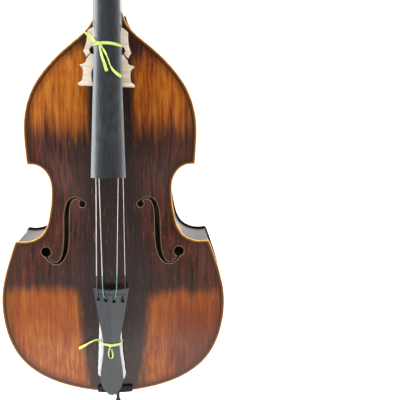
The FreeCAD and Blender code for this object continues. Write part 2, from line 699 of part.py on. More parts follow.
ALONG_X = Rotation(Y_AXIS, 90)
ALONG_Q = Rotation(X_AXIS, -90)
WHEEL_TURN = Rotation(Vector(1, 0, 1), 180).multiply(Rotation(Z_AXIS, 180 / dim("gear_teeth")))
WORM_TURN = Rotation(Vector(1, 1, 1), -120)
screws = []
for string, side, place in MACHINES:
    p = dim("first_post") + place * dim("post_pitch")
    q = dim("post_drop")
    worm_p = p - WORM_DROP
    wheel_x = side * GEAR_X
    plate_x = cheek if side > 0 else -cheek - dim("plate_thick")
    tag = f"m{string}"
    # brass plate with two bearing lugs
    sheet_plate = box(f"{tag}_plate", in_head(plate_x, 2, p - 8 - dim("plate_long") / 2),
                      dim("plate_thick"), dim("plate_wide"), dim("plate_long"))
    lug_x = cheek if side > 0 else -GEAR_X - 6
    lugs = [box(f"{tag}_lug_{q_low}", in_head(lug_x, q_low, worm_p - 5),
                GEAR_X + 6 - cheek, dim("lug_thick"), 10) for q_low in (4.5, 31.5)]
    post_bore = cylinder(f"{tag}_post_bore", in_head(-60, q, p, ALONG_X), JOURNAL, 120)
    shaft_bore = cylinder(f"{tag}_shaft_bore", in_head(wheel_x, -10, worm_p, ALONG_Q),
                          dim("shaft_radius") + dim("journal_gap"), 80)
    part(f"machine_plate_{string}",
         cut(f"{tag}_bracket", fuse(f"{tag}_plate_and_lugs", sheet_plate, *lugs), post_bore,
             shaft_bore))
    # wood screws: a shank in the cheek and a round head on the plate
    for screw_q in (6.5, 39.5):
        for screw_p in (p + 24, p - 40):
            tip = side * (cheek - 9)
            start = tip if side > 0 else -cheek - dim("plate_thick")
            shank = cylinder(f"{tag}_shank", in_head(start, screw_q, screw_p, ALONG_X), 1.6,
                             9 + dim("plate_thick"))
            cap_x = side * (cheek + dim("plate_thick")) - (0 if side > 0 else 1.8)
            cap = cylinder(f"{tag}_cap", in_head(cap_x, screw_q, screw_p, ALONG_X), 3.4, 1.8)
            screws.append(fuse(f"{tag}_screw", shank, cap))
    # wheel and post
    wheel_low = wheel_x - dim("gear_width") / 2
    wheel = gear_body(f"{tag}_wheel", in_head(wheel_low, q, p, WHEEL_TURN))
    far_end = side * (GEAR_X + 5)
    near_end = -side * (cheek - 0.5)
    post = cylinder(f"{tag}_post", in_head(min(far_end, near_end), q, p, ALONG_X),
                    of_sheet("post_radius"), abs(far_end - near_end))
    hub_x = side * (cheek + dim("plate_thick") + 0.2)
    hub_long = GEAR_X - cheek - dim("plate_thick") - 1
    hub = cylinder(f"{tag}_hub", in_head(hub_x if side > 0 else hub_x - hub_long, q, p, ALONG_X),
                   9, hub_long)
    part(f"peg_gear_{string}", fuse(f"{tag}_peg", wheel, post, hub))
    wrap_x = WRAP_PLACE[string] - 3.5
    wrap = cylinder(f"{tag}_wrap", in_head(wrap_x, q, p, ALONG_X), of_sheet("wrap_radius"), 7)
    wrap_bore = cylinder(f"{tag}_wrap_bore", in_head(-40, q, p, ALONG_X),
                         of_sheet("post_radius"), 80)
    part(f"string_wrap_{string}", cut(f"{tag}_winding", wrap, wrap_bore))
    # worm, shaft and key
    worm_place = in_head(wheel_x, q - 1.5 * PITCH, worm_p, WORM_TURN)
    thread = worm_thread(f"{tag}_thread", worm_place)
    core = cylinder(f"{tag}_core", in_head(wheel_x, 10, worm_p, ALONG_Q),
                    dim("worm_pitch_radius") - 1.1, 20)
    spindle = cylinder(f"{tag}_spindle", in_head(wheel_x, 3, worm_p, ALONG_Q),
                       of_sheet("shaft_radius"), 58)
    collar = cylinder(f"{tag}_collar", in_head(wheel_x, 56, worm_p, ALONG_Q), 5, 14)
    wings = [cylinder(f"{tag}_wing_{lean}", in_head(wheel_x - 1.8, 77, worm_p + lean, ALONG_X),
                      11, 3.6) for lean in (-8, 8)]
    part(f"tuning_key_{string}", fuse(f"{tag}_key", core, thread, spindle, collar, *wings))
    bores.append(post_bore)

machine_screws = doc.addObject("Part::Compound", "machine_screws")
machine_screws.Links = screws
part("machine_screws", machine_screws)
for string in range(1, 5):
    bracket = parts[f"machine_plate_{string}"]
    part(f"machine_plate_{string}", cut(f"m{string}_holes", bracket, machine_screws))
head = common("pegbox", side_view, front_view)
wood = fuse("neck_wood", shaft_trim, root, head, *scroll)
part("neck", cut("neck", wood, head_slot, *bores, machine_screws))

# The nut sits on the neck against the end of the fingerboard.
nut_loft = Part.makeLoft([board_section(NUT_Z, dim("nut_crown"), dim("nut_rise")),
                          board_section(NUT_Z + dim("nut_thick"), dim("nut_crown"),
                                        dim("nut_rise"))], True, True)
nut_sag = dim("nut_crown") - math.sqrt(dim("nut_crown") ** 2 - dim("nut_half") ** 2)
slots = []
for x in (-15, -5, 5, 15):
    rise = dim("board_edge") + dim("nut_rise") + nut_sag
    rise -= dim("nut_crown") - math.sqrt(dim("nut_crown") ** 2 - x ** 2)
    slot_place = Placement(Vector(x, plane_y(NUT_Z + 4) - rise + 0.5, NUT_Z + 4), Rotation())
    slots.append(cylinder(f"nut_slot_{x}", slot_place.multiply(Placement(Vector(0, 0, -20),
                          Rotation())), 1.5, 40))
part("nut", cut("nut", shaped("nut_blank", nut_loft), *slots))

# ---------------------------------------------------------------- bridge, tied under the board
# Half outline from the foot's inner end, round the outside, to the top: across, up.
BRIDGE_FOOT = [(34, 0), (75, 0), (76.5, 3), (69, 9.5), (64.5, 21), (63.5, 34), (65.5, 46)]
BRIDGE_HIP = [(65.5, 46), (70, 51), (73.5, 54), (66, 56.5), (59, 60), (56.3, 71)]
BRIDGE_KNEE = [(56.3, 71), (57, 77), (59.5, 84), (64.5, 91.5)]
BRIDGE_SIDE = [(64.5, 91.5), (60, 103), (56.5, 118), (55, 132), (54.9, 146)]
BRIDGE_TOP = [(54.9, 146), (37, 158), (18, 163), (0, 164.5)]
BRIDGE_ARCH = [(34, 0), (38.5, 8), (41, 22), (40.5, 40), (34, 51), (18, 57.5), (0, 60)]
KIDNEY = (37, 95.5, 11.8)
SLIT = [(43, 87), (45, 88.5), (60, 74), (56, 69)]


def flat_face(points):
    corners = [Vector(x, 0, z) for x, z in points]
    return Part.Face(Part.makePolygon(corners + corners[:1]))


def run_of(points):
    return spline([Vector(x, 0, z) for x, z in points]).toShape()


def bridge_shape():
    half = [Part.makeLine(Vector(34, 0, 0), Vector(75, 0, 0)), run_of(BRIDGE_FOOT[1:]),
            run_of(BRIDGE_HIP), run_of(BRIDGE_KNEE), run_of(BRIDGE_SIDE), run_of(BRIDGE_TOP)]
    right = half + [run_of(BRIDGE_ARCH)]
    left = [edge.mirror(Vector(), X_AXIS) for edge in right]
    face = Part.Face(Part.Wire(Part.__sortEdges__(right + left)))
    thick = dim("bridge_foot_thick")
    blank = face.extrude(Y_AXIS * thick)
    tall = dim("bridge_height") + 10
    wedge = Part.Face(Part.makePolygon([
        Vector(-100, thick, 0), Vector(-100, dim("bridge_top_thick"), tall),
        Vector(-100, thick + 5, tall), Vector(-100, thick, 0)])).extrude(X_AXIS * 200)
    across, up, radius = KIDNEY
    for side in (1, -1):
        eye = Part.makeCylinder(radius, 60, Vector(side * across, -20, up), Y_AXIS)
        slit = flat_face([(side * x, z) for x, z in SLIT]).extrude(Y_AXIS * 60)
        slit.translate(Y_AXIS * -20)
        blank = blank.cut(eye).cut(slit)
    heart = Part.makeCylinder(6, 60, Vector(0, -20, 88), Y_AXIS)
    return blank.cut(wedge).cut(heart)


lean = Rotation(X_AXIS, -SLOPE)
foot_z = BASE + dim("bridge_foot_place") - 2
bridge_seat = Vector(-4.6, plane_y(foot_z) + dim("string_gap"), foot_z)
part("bridge", shaped("bridge", bridge_shape(),
                      Placement(bridge_seat, lean.multiply(Rotation(Y_AXIS, 1.8)))))

# ---------------------------------------------------------------- tailpiece and foam pad
# Half outline, tip to top: half width, height. The top edge is hollow.
TAIL_SIDE = [(0, 0), (12, 6), (24, 19), (31.5, 39), (32.5, 61), (29, 94), (25, 124),
             (23.2, 161), (27.5, 194), (35.6, 237), (44.5, 294), (51, 333)]
TAIL_HOLLOW = 5
KEYHOLES = [(-36.5, 304), (-15.5, 301), (8.3, 298.5), (32.5, 299)]
TAIL_LEAN = Rotation(X_AXIS, dim("tail_slope")).multiply(Rotation(Y_AXIS, 0.9))
TAIL = Placement(Vector(-7.5, FRONT_RIM - 25, BASE + 6), TAIL_LEAN)
ridge, side_thick = dim("tail_ridge"), dim("tail_thick")


def tail_roof(x):
    """Depth in front of the tailpiece's flat back: two facets that meet on a ridge."""
    return ridge - (ridge - side_thick) * abs(x) / 51


def tail_point(x, rise, height):
    return TAIL.multVec(Vector(x, -tail_roof(x) - rise, height))


def roof_bar(name, half, low, high, below, above):
    """A bar that follows the two facets, from below to above their surface."""
    upper = [Vector(x, -tail_roof(x) - above, low) for x in (-half, 0, half)]
    lower = [Vector(x, min(0, -tail_roof(x) + below), low) for x in (half, 0, -half)]
    face = Part.Face(Part.makePolygon(upper + lower + upper[:1]))
    return face.extrude(Z_AXIS * (high - low))


def tailpiece_shape():
    right = run_of(TAIL_SIDE)
    left = right.mirror(Vector(), X_AXIS)
    wide, tall = TAIL_SIDE[-1]
    top = Part.Arc(Vector(wide, 0, tall), Vector(0, 0, tall - TAIL_HOLLOW),
                   Vector(-wide, 0, tall)).toShape()
    face = Part.Face(Part.Wire(Part.__sortEdges__([right, left, top])))
    shape = face.extrude(Y_AXIS * -20).common(roof_bar("roof", 60, -5, 345, 40, 0))
    for x, height in KEYHOLES:
        hole = Part.makeCylinder(5.2, 40, Vector(x, -30, height - 4), Y_AXIS)
        throat = Part.makeBox(8, 40, 9, Vector(x - 4, -30, height - 4))
        slot = Part.makeBox(5, 40, 12, Vector(x - 2.5, -30, height))
        shape = shape.cut(hole).cut(throat).cut(slot)
    for x in (-10, 10):
        shape = shape.cut(Part.makeCylinder(1.7, 60, Vector(x, -4, 40), Z_AXIS * -1))
    return shape


part("tailpiece", shaped("tailpiece", tailpiece_shape(), TAIL))
part("tailpiece_fret", shaped("tailpiece_fret", roof_bar("fret", 42, 311, 314, 0, 2), TAIL))

FOAM = [(-34, 256), (-38, 140), (-41.5, 57), (-33, 50), (35, 43), (40, 55), (31, 132), (28, 190),
        (24, 256)]
foam_face = flat_face(FOAM)
part("foam_pad", shaped("foam_pad", foam_face.extrude(Y_AXIS * (dim("foam_thick") - 0.2)),
                        TAIL.multiply(Placement(Y_AXIS * 0.2, Rotation()))))

# ---------------------------------------------------------------- saddle and tail wire
saddle_box = solid("Box", "saddle_box", (-dim("saddle_half"), FRONT_RIM - dim("saddle_rise"),
                                         BASE - 10),
                   Length="2 * Dimensions.saddle_half",
                   Width=of_sheet("saddle_rise") + " + Dimensions.plate_edge",
                   Height=of_sheet("saddle_height") + " + 10")
saddle_field = prism("saddle_field", 0, FRONT_GLUE, FRONT_RIM - 30)
part("saddle", common("saddle", saddle_box, saddle_field))


def tube(name, points, radius):
    """A cord: straight runs joined by tangent arcs, each as large as its two runs allow."""
    edges, start, radii = [], points[0], []
    for before, corner, after in zip(points, points[1:], points[2:]):
        back, ahead = before - corner, after - corner
        turn = math.pi - back.getAngle(ahead)
        reach = 0.45 * min(back.Length, ahead.Length)
        radii.append(reach / math.tan(turn / 2))
        first = corner + back.normalize() * reach
        last = corner + ahead.normalize() * reach
        inner = (back + ahead).normalize()
        middle = corner + inner * (radii[-1] / math.cos(turn / 2) - radii[-1])
        edges.append(Part.LineSegment(start, first).toShape())
        edges.append(Part.Arc(first, middle, last).toShape())
        start = last
    edges.append(Part.LineSegment(start, points[-1]).toShape())
    path = Part.Wire(edges)
    ring = Part.Wire(Part.Circle(points[0], points[1] - points[0], radius).toShape())
    body = path.makePipeShell([ring], True, False)
    section = math.pi * radius ** 2 * path.Length
    print(name, "length", round(path.Length, 1), "volume share", round(body.Volume / section, 4),
          "radii", [round(r, 1) for r in radii])
    return shaped(name, body)


WIRE = [tail_point(-10, 4 - tail_roof(10), 34), tail_point(-10, 4 - tail_roof(10), -4),
        Vector(-16, -114.5, 97), Vector(-14.4, 14.4, 97.4), Vector(14.4, 14.4, 97.4),
        Vector(3, -114.5, 97), tail_point(10, 4 - tail_roof(10), -4),
        tail_point(10, 4 - tail_roof(10), 34)]
part("tail_wire", tube("tail_wire", WIRE, dim("wire_radius")))

# ---------------------------------------------------------------- strings, slack
# Two slip down each side of the fingerboard, pass between it and the tied bridge, and run
# to the tailpiece. Lane is how far out the outer string of a pair lies.
STRINGS = {
    # string: radius, slot in the nut, side, lane, place under the board, place at mid length,
    # tailpiece edge and fret (across in the tailpiece's frame)
    1: (1.35, -15, -1, 3.2, 35, -37.7, -40.7, -38.6),
    2: (1.15, -5, -1, 0.0, 31, -29.4, -23.6, -20.5),
    3: (0.95, 5, 1, 0.0, 31, 23.4, 16.4, 12.8),
    4: (0.80, 15, 1, 3.2, 36, 36.9, 40.2, 36.8),
}
POST_OF = {string: place for string, side, place in MACHINES}


def board_top(x, z):
    """Height of the fingerboard's crowned top over the glue plane."""
    share = (NUT_Z - z) / dim("board_length")
    crown = dim("nut_crown") + (dim("board_end_crown") - dim("nut_crown")) * share
    half = board_half(z)
    sag = crown - math.sqrt(crown ** 2 - half ** 2)
    return dim("board_edge") + sag - (crown - math.sqrt(crown ** 2 - x ** 2))


def string_route(string):
    radius, slot, side, lane, under, middle, edge_x, fret_x = STRINGS[string]
    wrap_front = dim("post_drop") - dim("wrap_radius") - 0.3 - radius
    post_p = dim("first_post") + POST_OF[string] * dim("post_pitch")
    points = [in_head(WRAP_PLACE[string], wrap_front, post_p).Base]
    slot_y = plane_y(NUT_Z + 4) - board_top(slot, NUT_Z) - dim("nut_rise") + 0.5
    points.append(Vector(slot * 0.98, slot_y, NUT_Z + 14))
    points.append(Vector(slot, slot_y - 0.9, NUT_Z - 4))
    drop = 40 if lane else 105
    z = NUT_Z - drop
    x = board_half(z) - 3.5
    points.append(Vector(side * x, plane_y(z) - board_top(x, z) - radius - 2.2, z))
    z = NUT_Z - drop - 45
    points.append(Vector(side * (board_half(z) + 2.4 + radius + lane), plane_y(z) - 9.5, z))
    z = NUT_Z - drop - 110
    beside = 0.5 + radius + lane
    points.append(Vector(side * (board_half(z) + beside), plane_y(z) + 1.7, z))
    z = BASE + 1085
    points.append(Vector(side * (board_half(z) + beside), plane_y(z) + 1.7, z))
    z = BASE + 1022
    points.append(Vector(side * (board_half(z) - (1.6 if lane else 5.4)), plane_y(z) + 1.7, z))
    z = BASE + 925
    points.append(Vector(side * (under + 0.6), plane_y(z) + 1.7, z))
    z = BASE + 896
    points.append(Vector(side * under, plane_y(z) + 1.7, z))
    points.append(Vector(middle, FRONT_RIM - 62, BASE + 652))
    points.append(tail_point(edge_x, radius + 1.8, 336))
    points.append(tail_point(fret_x, 2.6 + 2.5 * radius, 310.5))
    key_x, key_height = KEYHOLES[string - 1]
    points.append(tail_point(key_x, -2, key_height + 4.5))
    return points


for string in STRINGS:
    part(f"string_{string}", tube(f"string_{string}", string_route(string), STRINGS[string][0]))

balls = doc.addObject("Part::Compound", "string_balls")
ball_list = []
for number, (x, height) in enumerate(KEYHOLES):
    ball = doc.addObject("Part::Sphere", f"ball_{number}")
    ball.Radius = 3.4
    ball.Placement = Placement(tail_point(x, -3.6, height), Rotation())
    ball_list.append(ball)
balls.Links = ball_list
part("string_balls", balls)

# ---------------------------------------------------------------- ribbon ties
RIBBON_THICK = 0.9


def ribbon_ring(inner, wide, slope=0.0):
    """A closed band round a convex section given in the XY plane; slope tilts the band."""
    flat = Part.makePolygon([Vector(x, y, 0) for x, y in inner + inner[:1]])
    sides = []
    for ring in (flat.makeOffset2D(RIBBON_THICK, 2), flat):
        points = [Vector(v.X, v.Y, v.Y * slope - wide / 2) for v in ring.OrderedVertexes]
        face = Part.Face(Part.makePolygon(points + points[:1]))
        sides.append(face.extrude(Z_AXIS * wide))
    return sides[0].cut(sides[1])


tie_z = BASE + 1006
tie_half = board_half(tie_z) + 1.1
tie_section = [(-tie_half, 19), (tie_half, 19), (tie_half, -9.3)]
tie_section += [(x, -board_top(x, tie_z) - 0.9) for x in (28, 14, 0, -14, -28)]
tie_section += [(-tie_half, -9.3)]
bridge_ring = ribbon_ring(tie_section, 8, -0.55)
bridge_ring.Placement = Placement(Vector(0, plane_y(tie_z), tie_z), lean)


def on_board(x, height, clear):
    z = BASE + height
    return Vector(x, plane_y(z) - board_top(min(abs(x), board_half(z)), z) - clear, z)


bridge_knot = on_board(-23.2, 1018, 5.5)
knot = Part.makeSphere(5, bridge_knot)
part("bridge_tie", shaped("bridge_tie", bridge_ring.fuse(knot)))
BRIDGE_TIE_ENDS = {
    "a": [(-20.5, 1012, 5.5), (-16, 990, 5.6), (-7.5, 966, 5.2), (-0.5, 944, 5)],
    "b": [(-18, 1015, 5.5), (-8, 1000, 7), (1, 982, 6.5), (9, 956, 6), (22, 940, 6),
          (38, 929, 7)],
    "c": [(-27, 1021, 5.5), (-36, 1026, 7), (-47, 1037, 4), (-62, 1049, -1)],
}
for end, cells in BRIDGE_TIE_ENDS.items():
    name = f"bridge_tie_end_{end}"
    part(name, tube(name, [on_board(*cell) for cell in cells], 1.6))

tail_ring = ribbon_ring([(-39, 14.4), (30.7, 14.4), (30.7, 0), (25, -12.8), (0, -16.2),
                         (-25, -12.8), (-39, 0)], 8)
tail_ring.Placement = TAIL.multiply(Placement(Z_AXIS * 163, Rotation()))
tail_knot = tail_point(-2.9, 5.2, 160.5)
part("tail_tie", shaped("tail_tie", tail_ring.fuse(Part.makeSphere(5, tail_knot))))
TAIL_LOOP = [(-4, 5.5, 154), (-9.5, 5.5, 140), (-7, 6.5, 124), (2, 6.5, 119), (5.5, 6, 133),
             (0.5, 5.5, 151)]
part("tail_tie_loop", tube("tail_tie_loop", [tail_point(*cell) for cell in TAIL_LOOP], 1.4))
TAIL_END = [(-44.5, -36, 177), (-57, -38, 174.5), (-72, -33, 165), (-88, -26, 153),
            (-103, -20.5, 144)]
part("tail_tie_end", tube("tail_tie_end", [Vector(x, FRONT_RIM + y, BASE + height)
                                           for x, y, height in TAIL_END], 1.6))

# ---------------------------------------------------------------- endpin


def turned(name, profile):
    """A piece turned on the Z axis: a PartDesign revolution of a closed profile."""
    body = doc.addObject("PartDesign::Body", name)
    upright = next(f for f in body.Origin.OriginFeatures if f.Role == "XZ_Plane")
    sketch = body.newObject("Sketcher::SketchObject", f"{name}_profile")
    sketch.AttachmentSupport = (upright, [""])
    sketch.MapMode = "FlatFace"
    values = [(sheet_value(x), sheet_value(y)) for x, y in profile]
    corners = [Vector(x, y, 0) for x, y in values]
    count = len(corners)
    for start, end in zip(corners, corners[1:] + corners[:1]):
        sketch.addGeometry(Part.LineSegment(start, end), False)
    for line in range(count):
        sketch.addConstraint(Sketcher.Constraint("Coincident", line, 2, (line + 1) % count, 1))
    for line, ((x_size, y_size), (x, y)) in enumerate(zip(profile, values)):
        for kind, axis, size, value in (("DistanceX", -2, x_size, x), ("DistanceY", -1, y_size, y)):
            if value == 0:
                sketch.addConstraint(Sketcher.Constraint("PointOnObject", line, 1, axis))
                continue
            number = sketch.addConstraint(Sketcher.Constraint(kind, -1, 1, line, 1, value))
            if isinstance(size, str):
                sketch.setExpression(f"Constraints[{number}]", size)
    doc.recompute()
    turn = body.newObject("PartDesign::Revolution", f"{name}_turn")
    turn.Profile = sketch
    turn.ReferenceAxis = (sketch, ["V_Axis"])
    turn.Angle = 360
    body.Tip = turn
    return body


def sheet_value(size):
    """A number, or the value of an expression of sums and products on the sheet."""
    if not isinstance(size, str):
        return float(size)
    total = 0.0
    for term in size.replace("- ", "+ -").split("+"):
        term = term.strip()
        sign = -1 if term.startswith("-") else 1
        term = term.lstrip("-").strip()
        total += sign * (dim(term.split(".")[1]) if "Dimensions." in term else float(term))
    return total


BORE = "Dimensions.rod_radius + Dimensions.journal_gap"
TOP = "Dimensions.body_bottom + 6"
FLANGE = "Dimensions.body_bottom + 0.3"
NECK_LOW = "Dimensions.body_bottom - 4.6"
TIP = "Dimensions.body_bottom - 31"
collar_body = turned("collar_turned", [
    (BORE, TIP), ("Dimensions.collar_tip", TIP), ("Dimensions.collar_tip + 5", NECK_LOW),
    (10.5, "Dimensions.body_bottom - 4.2"), (10.5, FLANGE), ("Dimensions.collar_top", FLANGE),
    ("Dimensions.collar_top", TOP), (BORE, TOP)])
screw_z = BASE - 16
screw_bore = solid("Cylinder", "screw_bore", (0, 0, screw_z), ALONG_X,
                   Radius="Dimensions.screw_radius + Dimensions.journal_gap", Height=40)
rib_block = prism("rib_block", dim("rib_inset"), FRONT_GLUE, BACK_GLUE)
part("endpin_collar", cut("endpin_collar", collar_body, screw_bore, rib_block))
plug = solid("Cylinder", "plug", (0, 0, BASE + 5.3), Radius=of_sheet("plug_radius"), Height=57)
rod_bore = solid("Cylinder", "rod_bore", (0, 0, 0), Radius=BORE, Height=400)
part("endpin_plug", cut("endpin_plug", plug, rod_bore))
foot_hole = 16
part("endpin_rod", solid("Cylinder", "endpin_rod", (0, 0, foot_hole),
                         Radius=of_sheet("rod_radius"), Height=of_sheet("rod_length")))
foot_body = turned("foot_turned", [
    (0, 0), ("Dimensions.foot_radius", 0), ("Dimensions.foot_radius + 1", 4),
    ("Dimensions.foot_radius - 2", 10), (9, 22), (7, "Dimensions.foot_height"),
    (0, "Dimensions.foot_height")])
part("endpin_foot", cut("endpin_foot", foot_body,
                        solid("Cylinder", "foot_bore", (0, 0, foot_hole),
                              Radius=of_sheet("rod_radius"), Height=40)))
screw_shank = solid("Cylinder", "screw_shank", (5.3, 0, screw_z), ALONG_X,
                    Radius=of_sheet("screw_radius"), Height=16)
screw_head = solid("Cylinder", "screw_head", (17, 0, screw_z), ALONG_X, Radius=5.5, Height=6)
screw_wing = solid("Box", "screw_wing", (21, -9, screw_z - 1.3), Length=9, Width=18, Height=2.6)
part("thumb_screw", fuse("thumb_screw", screw_shank, screw_head, screw_wing))

# ---------------------------------------------------------------- checks and files
doc.recompute()
faults = []
for obj in doc.Objects:
    if "Invalid" in obj.State or "Error" in obj.State:
        faults.append(f"{obj.Label} is {obj.State}")
for name, obj in parts.items():
    if obj.Shape.isNull() or not obj.Shape.isValid() or not obj.Shape.Solids:
        faults.append(f"{name} has no sound solid")
if faults:
    raise SystemExit("\n".join(faults))
os.makedirs("parts", exist_ok=True)
for name, obj in parts.items():
    obj.Shape.exportStep(f"parts/{name}.step")
    print(f"{name:24s} solids {len(obj.Shape.Solids)} cm3 {obj.Shape.Volume / 1000:.1f}")
print(len(parts), "parts")
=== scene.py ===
"""Double bass, three-quarter size, stored with its bridge and slack strings tied down.

Everything is in metres in the frame's own axes: +Z up, -Y the front, +X the treble side.
"""
import bpy
import bmesh
import math
import numpy as np
from mathutils import Matrix, Vector
from mathutils.geometry import delaunay_2d_cdt


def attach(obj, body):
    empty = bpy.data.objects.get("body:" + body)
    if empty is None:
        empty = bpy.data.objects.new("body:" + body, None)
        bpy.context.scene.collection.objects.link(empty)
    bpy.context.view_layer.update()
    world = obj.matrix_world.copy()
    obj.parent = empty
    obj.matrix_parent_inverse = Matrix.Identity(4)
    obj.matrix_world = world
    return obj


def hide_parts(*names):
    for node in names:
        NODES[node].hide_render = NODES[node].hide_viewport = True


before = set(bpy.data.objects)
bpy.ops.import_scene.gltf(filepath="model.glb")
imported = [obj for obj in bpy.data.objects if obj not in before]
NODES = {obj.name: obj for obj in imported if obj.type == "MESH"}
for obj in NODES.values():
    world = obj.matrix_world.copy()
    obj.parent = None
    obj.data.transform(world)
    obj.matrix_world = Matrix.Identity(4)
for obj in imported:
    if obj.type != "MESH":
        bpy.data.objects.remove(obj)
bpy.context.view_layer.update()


def add_object(name, data):
    """A new object, linked to the scene."""
    thing = bpy.data.objects.new(name, data)
    bpy.context.scene.collection.objects.link(thing)
    return thing


# ---------------------------------------------------------------- camera
VIEW_POINT = Vector((0.1634, -2.2154, 1.0428))
PITCH, ROLL, YAW = 0.1700, -0.0058, 0.0425
SENSOR, LENS = 36, 67.14


def make_camera():
    data = bpy.data.cameras.new("camera")
    data.sensor_width = SENSOR
    data.lens = LENS
    data.clip_start = 0.05
    camera = add_object("camera", data)
    turn = (Matrix.Rotation(YAW, 3, "Z") @ Matrix.Rotation(PITCH, 3, "X")
            @ Matrix.Rotation(ROLL, 3, "Y"))
    right, ahead, up = turn
    axes = Matrix((right, up, -ahead)).transposed()
    camera.matrix_world = Matrix.Translation(VIEW_POINT) @ axes.to_4x4()
    bpy.context.scene.camera = camera


make_camera()
bpy.context.scene.view_settings.view_transform = "Standard"


# ---------------------------------------------------------------- material building
class Shader:
    """A node material put together with short calls. Sockets are passed straight between them."""

    def __init__(self, name, **surface):
        self.material = bpy.data.materials.new(name)
        self.material.use_nodes = True
        self.tree = self.material.node_tree
        self.surface = self.tree.nodes["Principled BSDF"]
        for socket, value in surface.items():
            self.surface.inputs[socket.replace("_", " ")].default_value = value
        self.place = self.add("ShaderNodeTexCoord").outputs["Object"]

    def add(self, kind, **props):
        node = self.tree.nodes.new(kind)
        for prop, value in props.items():
            setattr(node, prop, value)
        return node

    def feed(self, socket, value):
        """Links another node's socket to this one, or sets this one's own value."""
        if isinstance(value, bpy.types.NodeSocket):
            self.tree.links.new(value, socket)
        elif value is not None:
            socket.default_value = value

    def sum(self, operation, a, b=None, c=None):
        node = self.add("ShaderNodeMath", operation=operation)
        for socket, value in zip(node.inputs, (a, b, c)):
            self.feed(socket, value)
        return node.outputs[0]

    def parts(self):
        node = self.add("ShaderNodeSeparateXYZ")
        self.feed(node.inputs[0], self.place)
        return node.outputs

    def stretched(self, scale, shift=(0, 0, 0)):
        node = self.add("ShaderNodeMapping")
        self.feed(node.inputs["Vector"], self.place)
        node.inputs["Scale"].default_value = scale
        node.inputs["Location"].default_value = shift
        return node.outputs[0]

    def noise(self, vector, scale=1.0, detail=3.0, roughness=0.5):
        node = self.add("ShaderNodeTexNoise")
        self.feed(node.inputs["Vector"], vector)
        for socket, value in (("Scale", scale), ("Detail", detail), ("Roughness", roughness)):
            node.inputs[socket].default_value = value
        return node.outputs[0]

    def waves(self, direction, scale):
        node = self.add("ShaderNodeTexWave", wave_type="BANDS", bands_direction=direction)
        self.feed(node.inputs["Vector"], self.place)
        node.inputs["Scale"].default_value = scale
        return node.outputs["Fac"]

    def span(self, value, low, high, out_low=0.0, out_high=1.0):
        """Eases from out_low to out_high while the value goes from low to high."""
        node = self.add("ShaderNodeMapRange", interpolation_type="SMOOTHSTEP")
        for socket, item in zip(node.inputs, (value, low, high, out_low, out_high)):
            self.feed(socket, item)
        return node.outputs[0]

    def mix(self, share, a, b):
        node = self.add("ShaderNodeMix", data_type="RGBA", blend_type="MIX")
        node.clamp_factor = True
        for index, value in ((0, share), (6, a), (7, b)):
            if isinstance(value, tuple):
                value = (*value, 1.0)
            self.feed(node.inputs[index], value)
        return node.outputs[2]

    def ramp(self, value, *stops):
        node = self.add("ShaderNodeValToRGB")
        self.feed(node.inputs[0], value)
        marks = node.color_ramp.elements
        for place, _ in stops[2:]:
            marks.new(place)
        for mark, (place, colour) in zip(marks, stops):
            mark.position = place
            mark.color = (*colour, 1.0)
        return node.outputs[0]

    def attribute(self, name):
        return self.add("ShaderNodeAttribute", attribute_name=name).outputs["Fac"]

    def colour(self, value):
        self.feed(self.surface.inputs["Base Color"], value)

    def rough(self, value):
        self.feed(self.surface.inputs["Roughness"], value)

    def bump(self, height, strength, distance):
        node = self.add("ShaderNodeBump")
        node.inputs["Strength"].default_value = strength
        node.inputs["Distance"].default_value = distance
        self.feed(node.inputs["Height"], height)
        self.feed(self.surface.inputs["Normal"], node.outputs[0])


GLOSS = {"Specular_IOR_Level": 0.15, "Coat_Weight": 0.6, "Coat_Roughness": 0.10, "Coat_IOR": 1.45}
GOLD_WOOD = (0.95, 0.54, 0.12)
SILK_TOP = 0.475


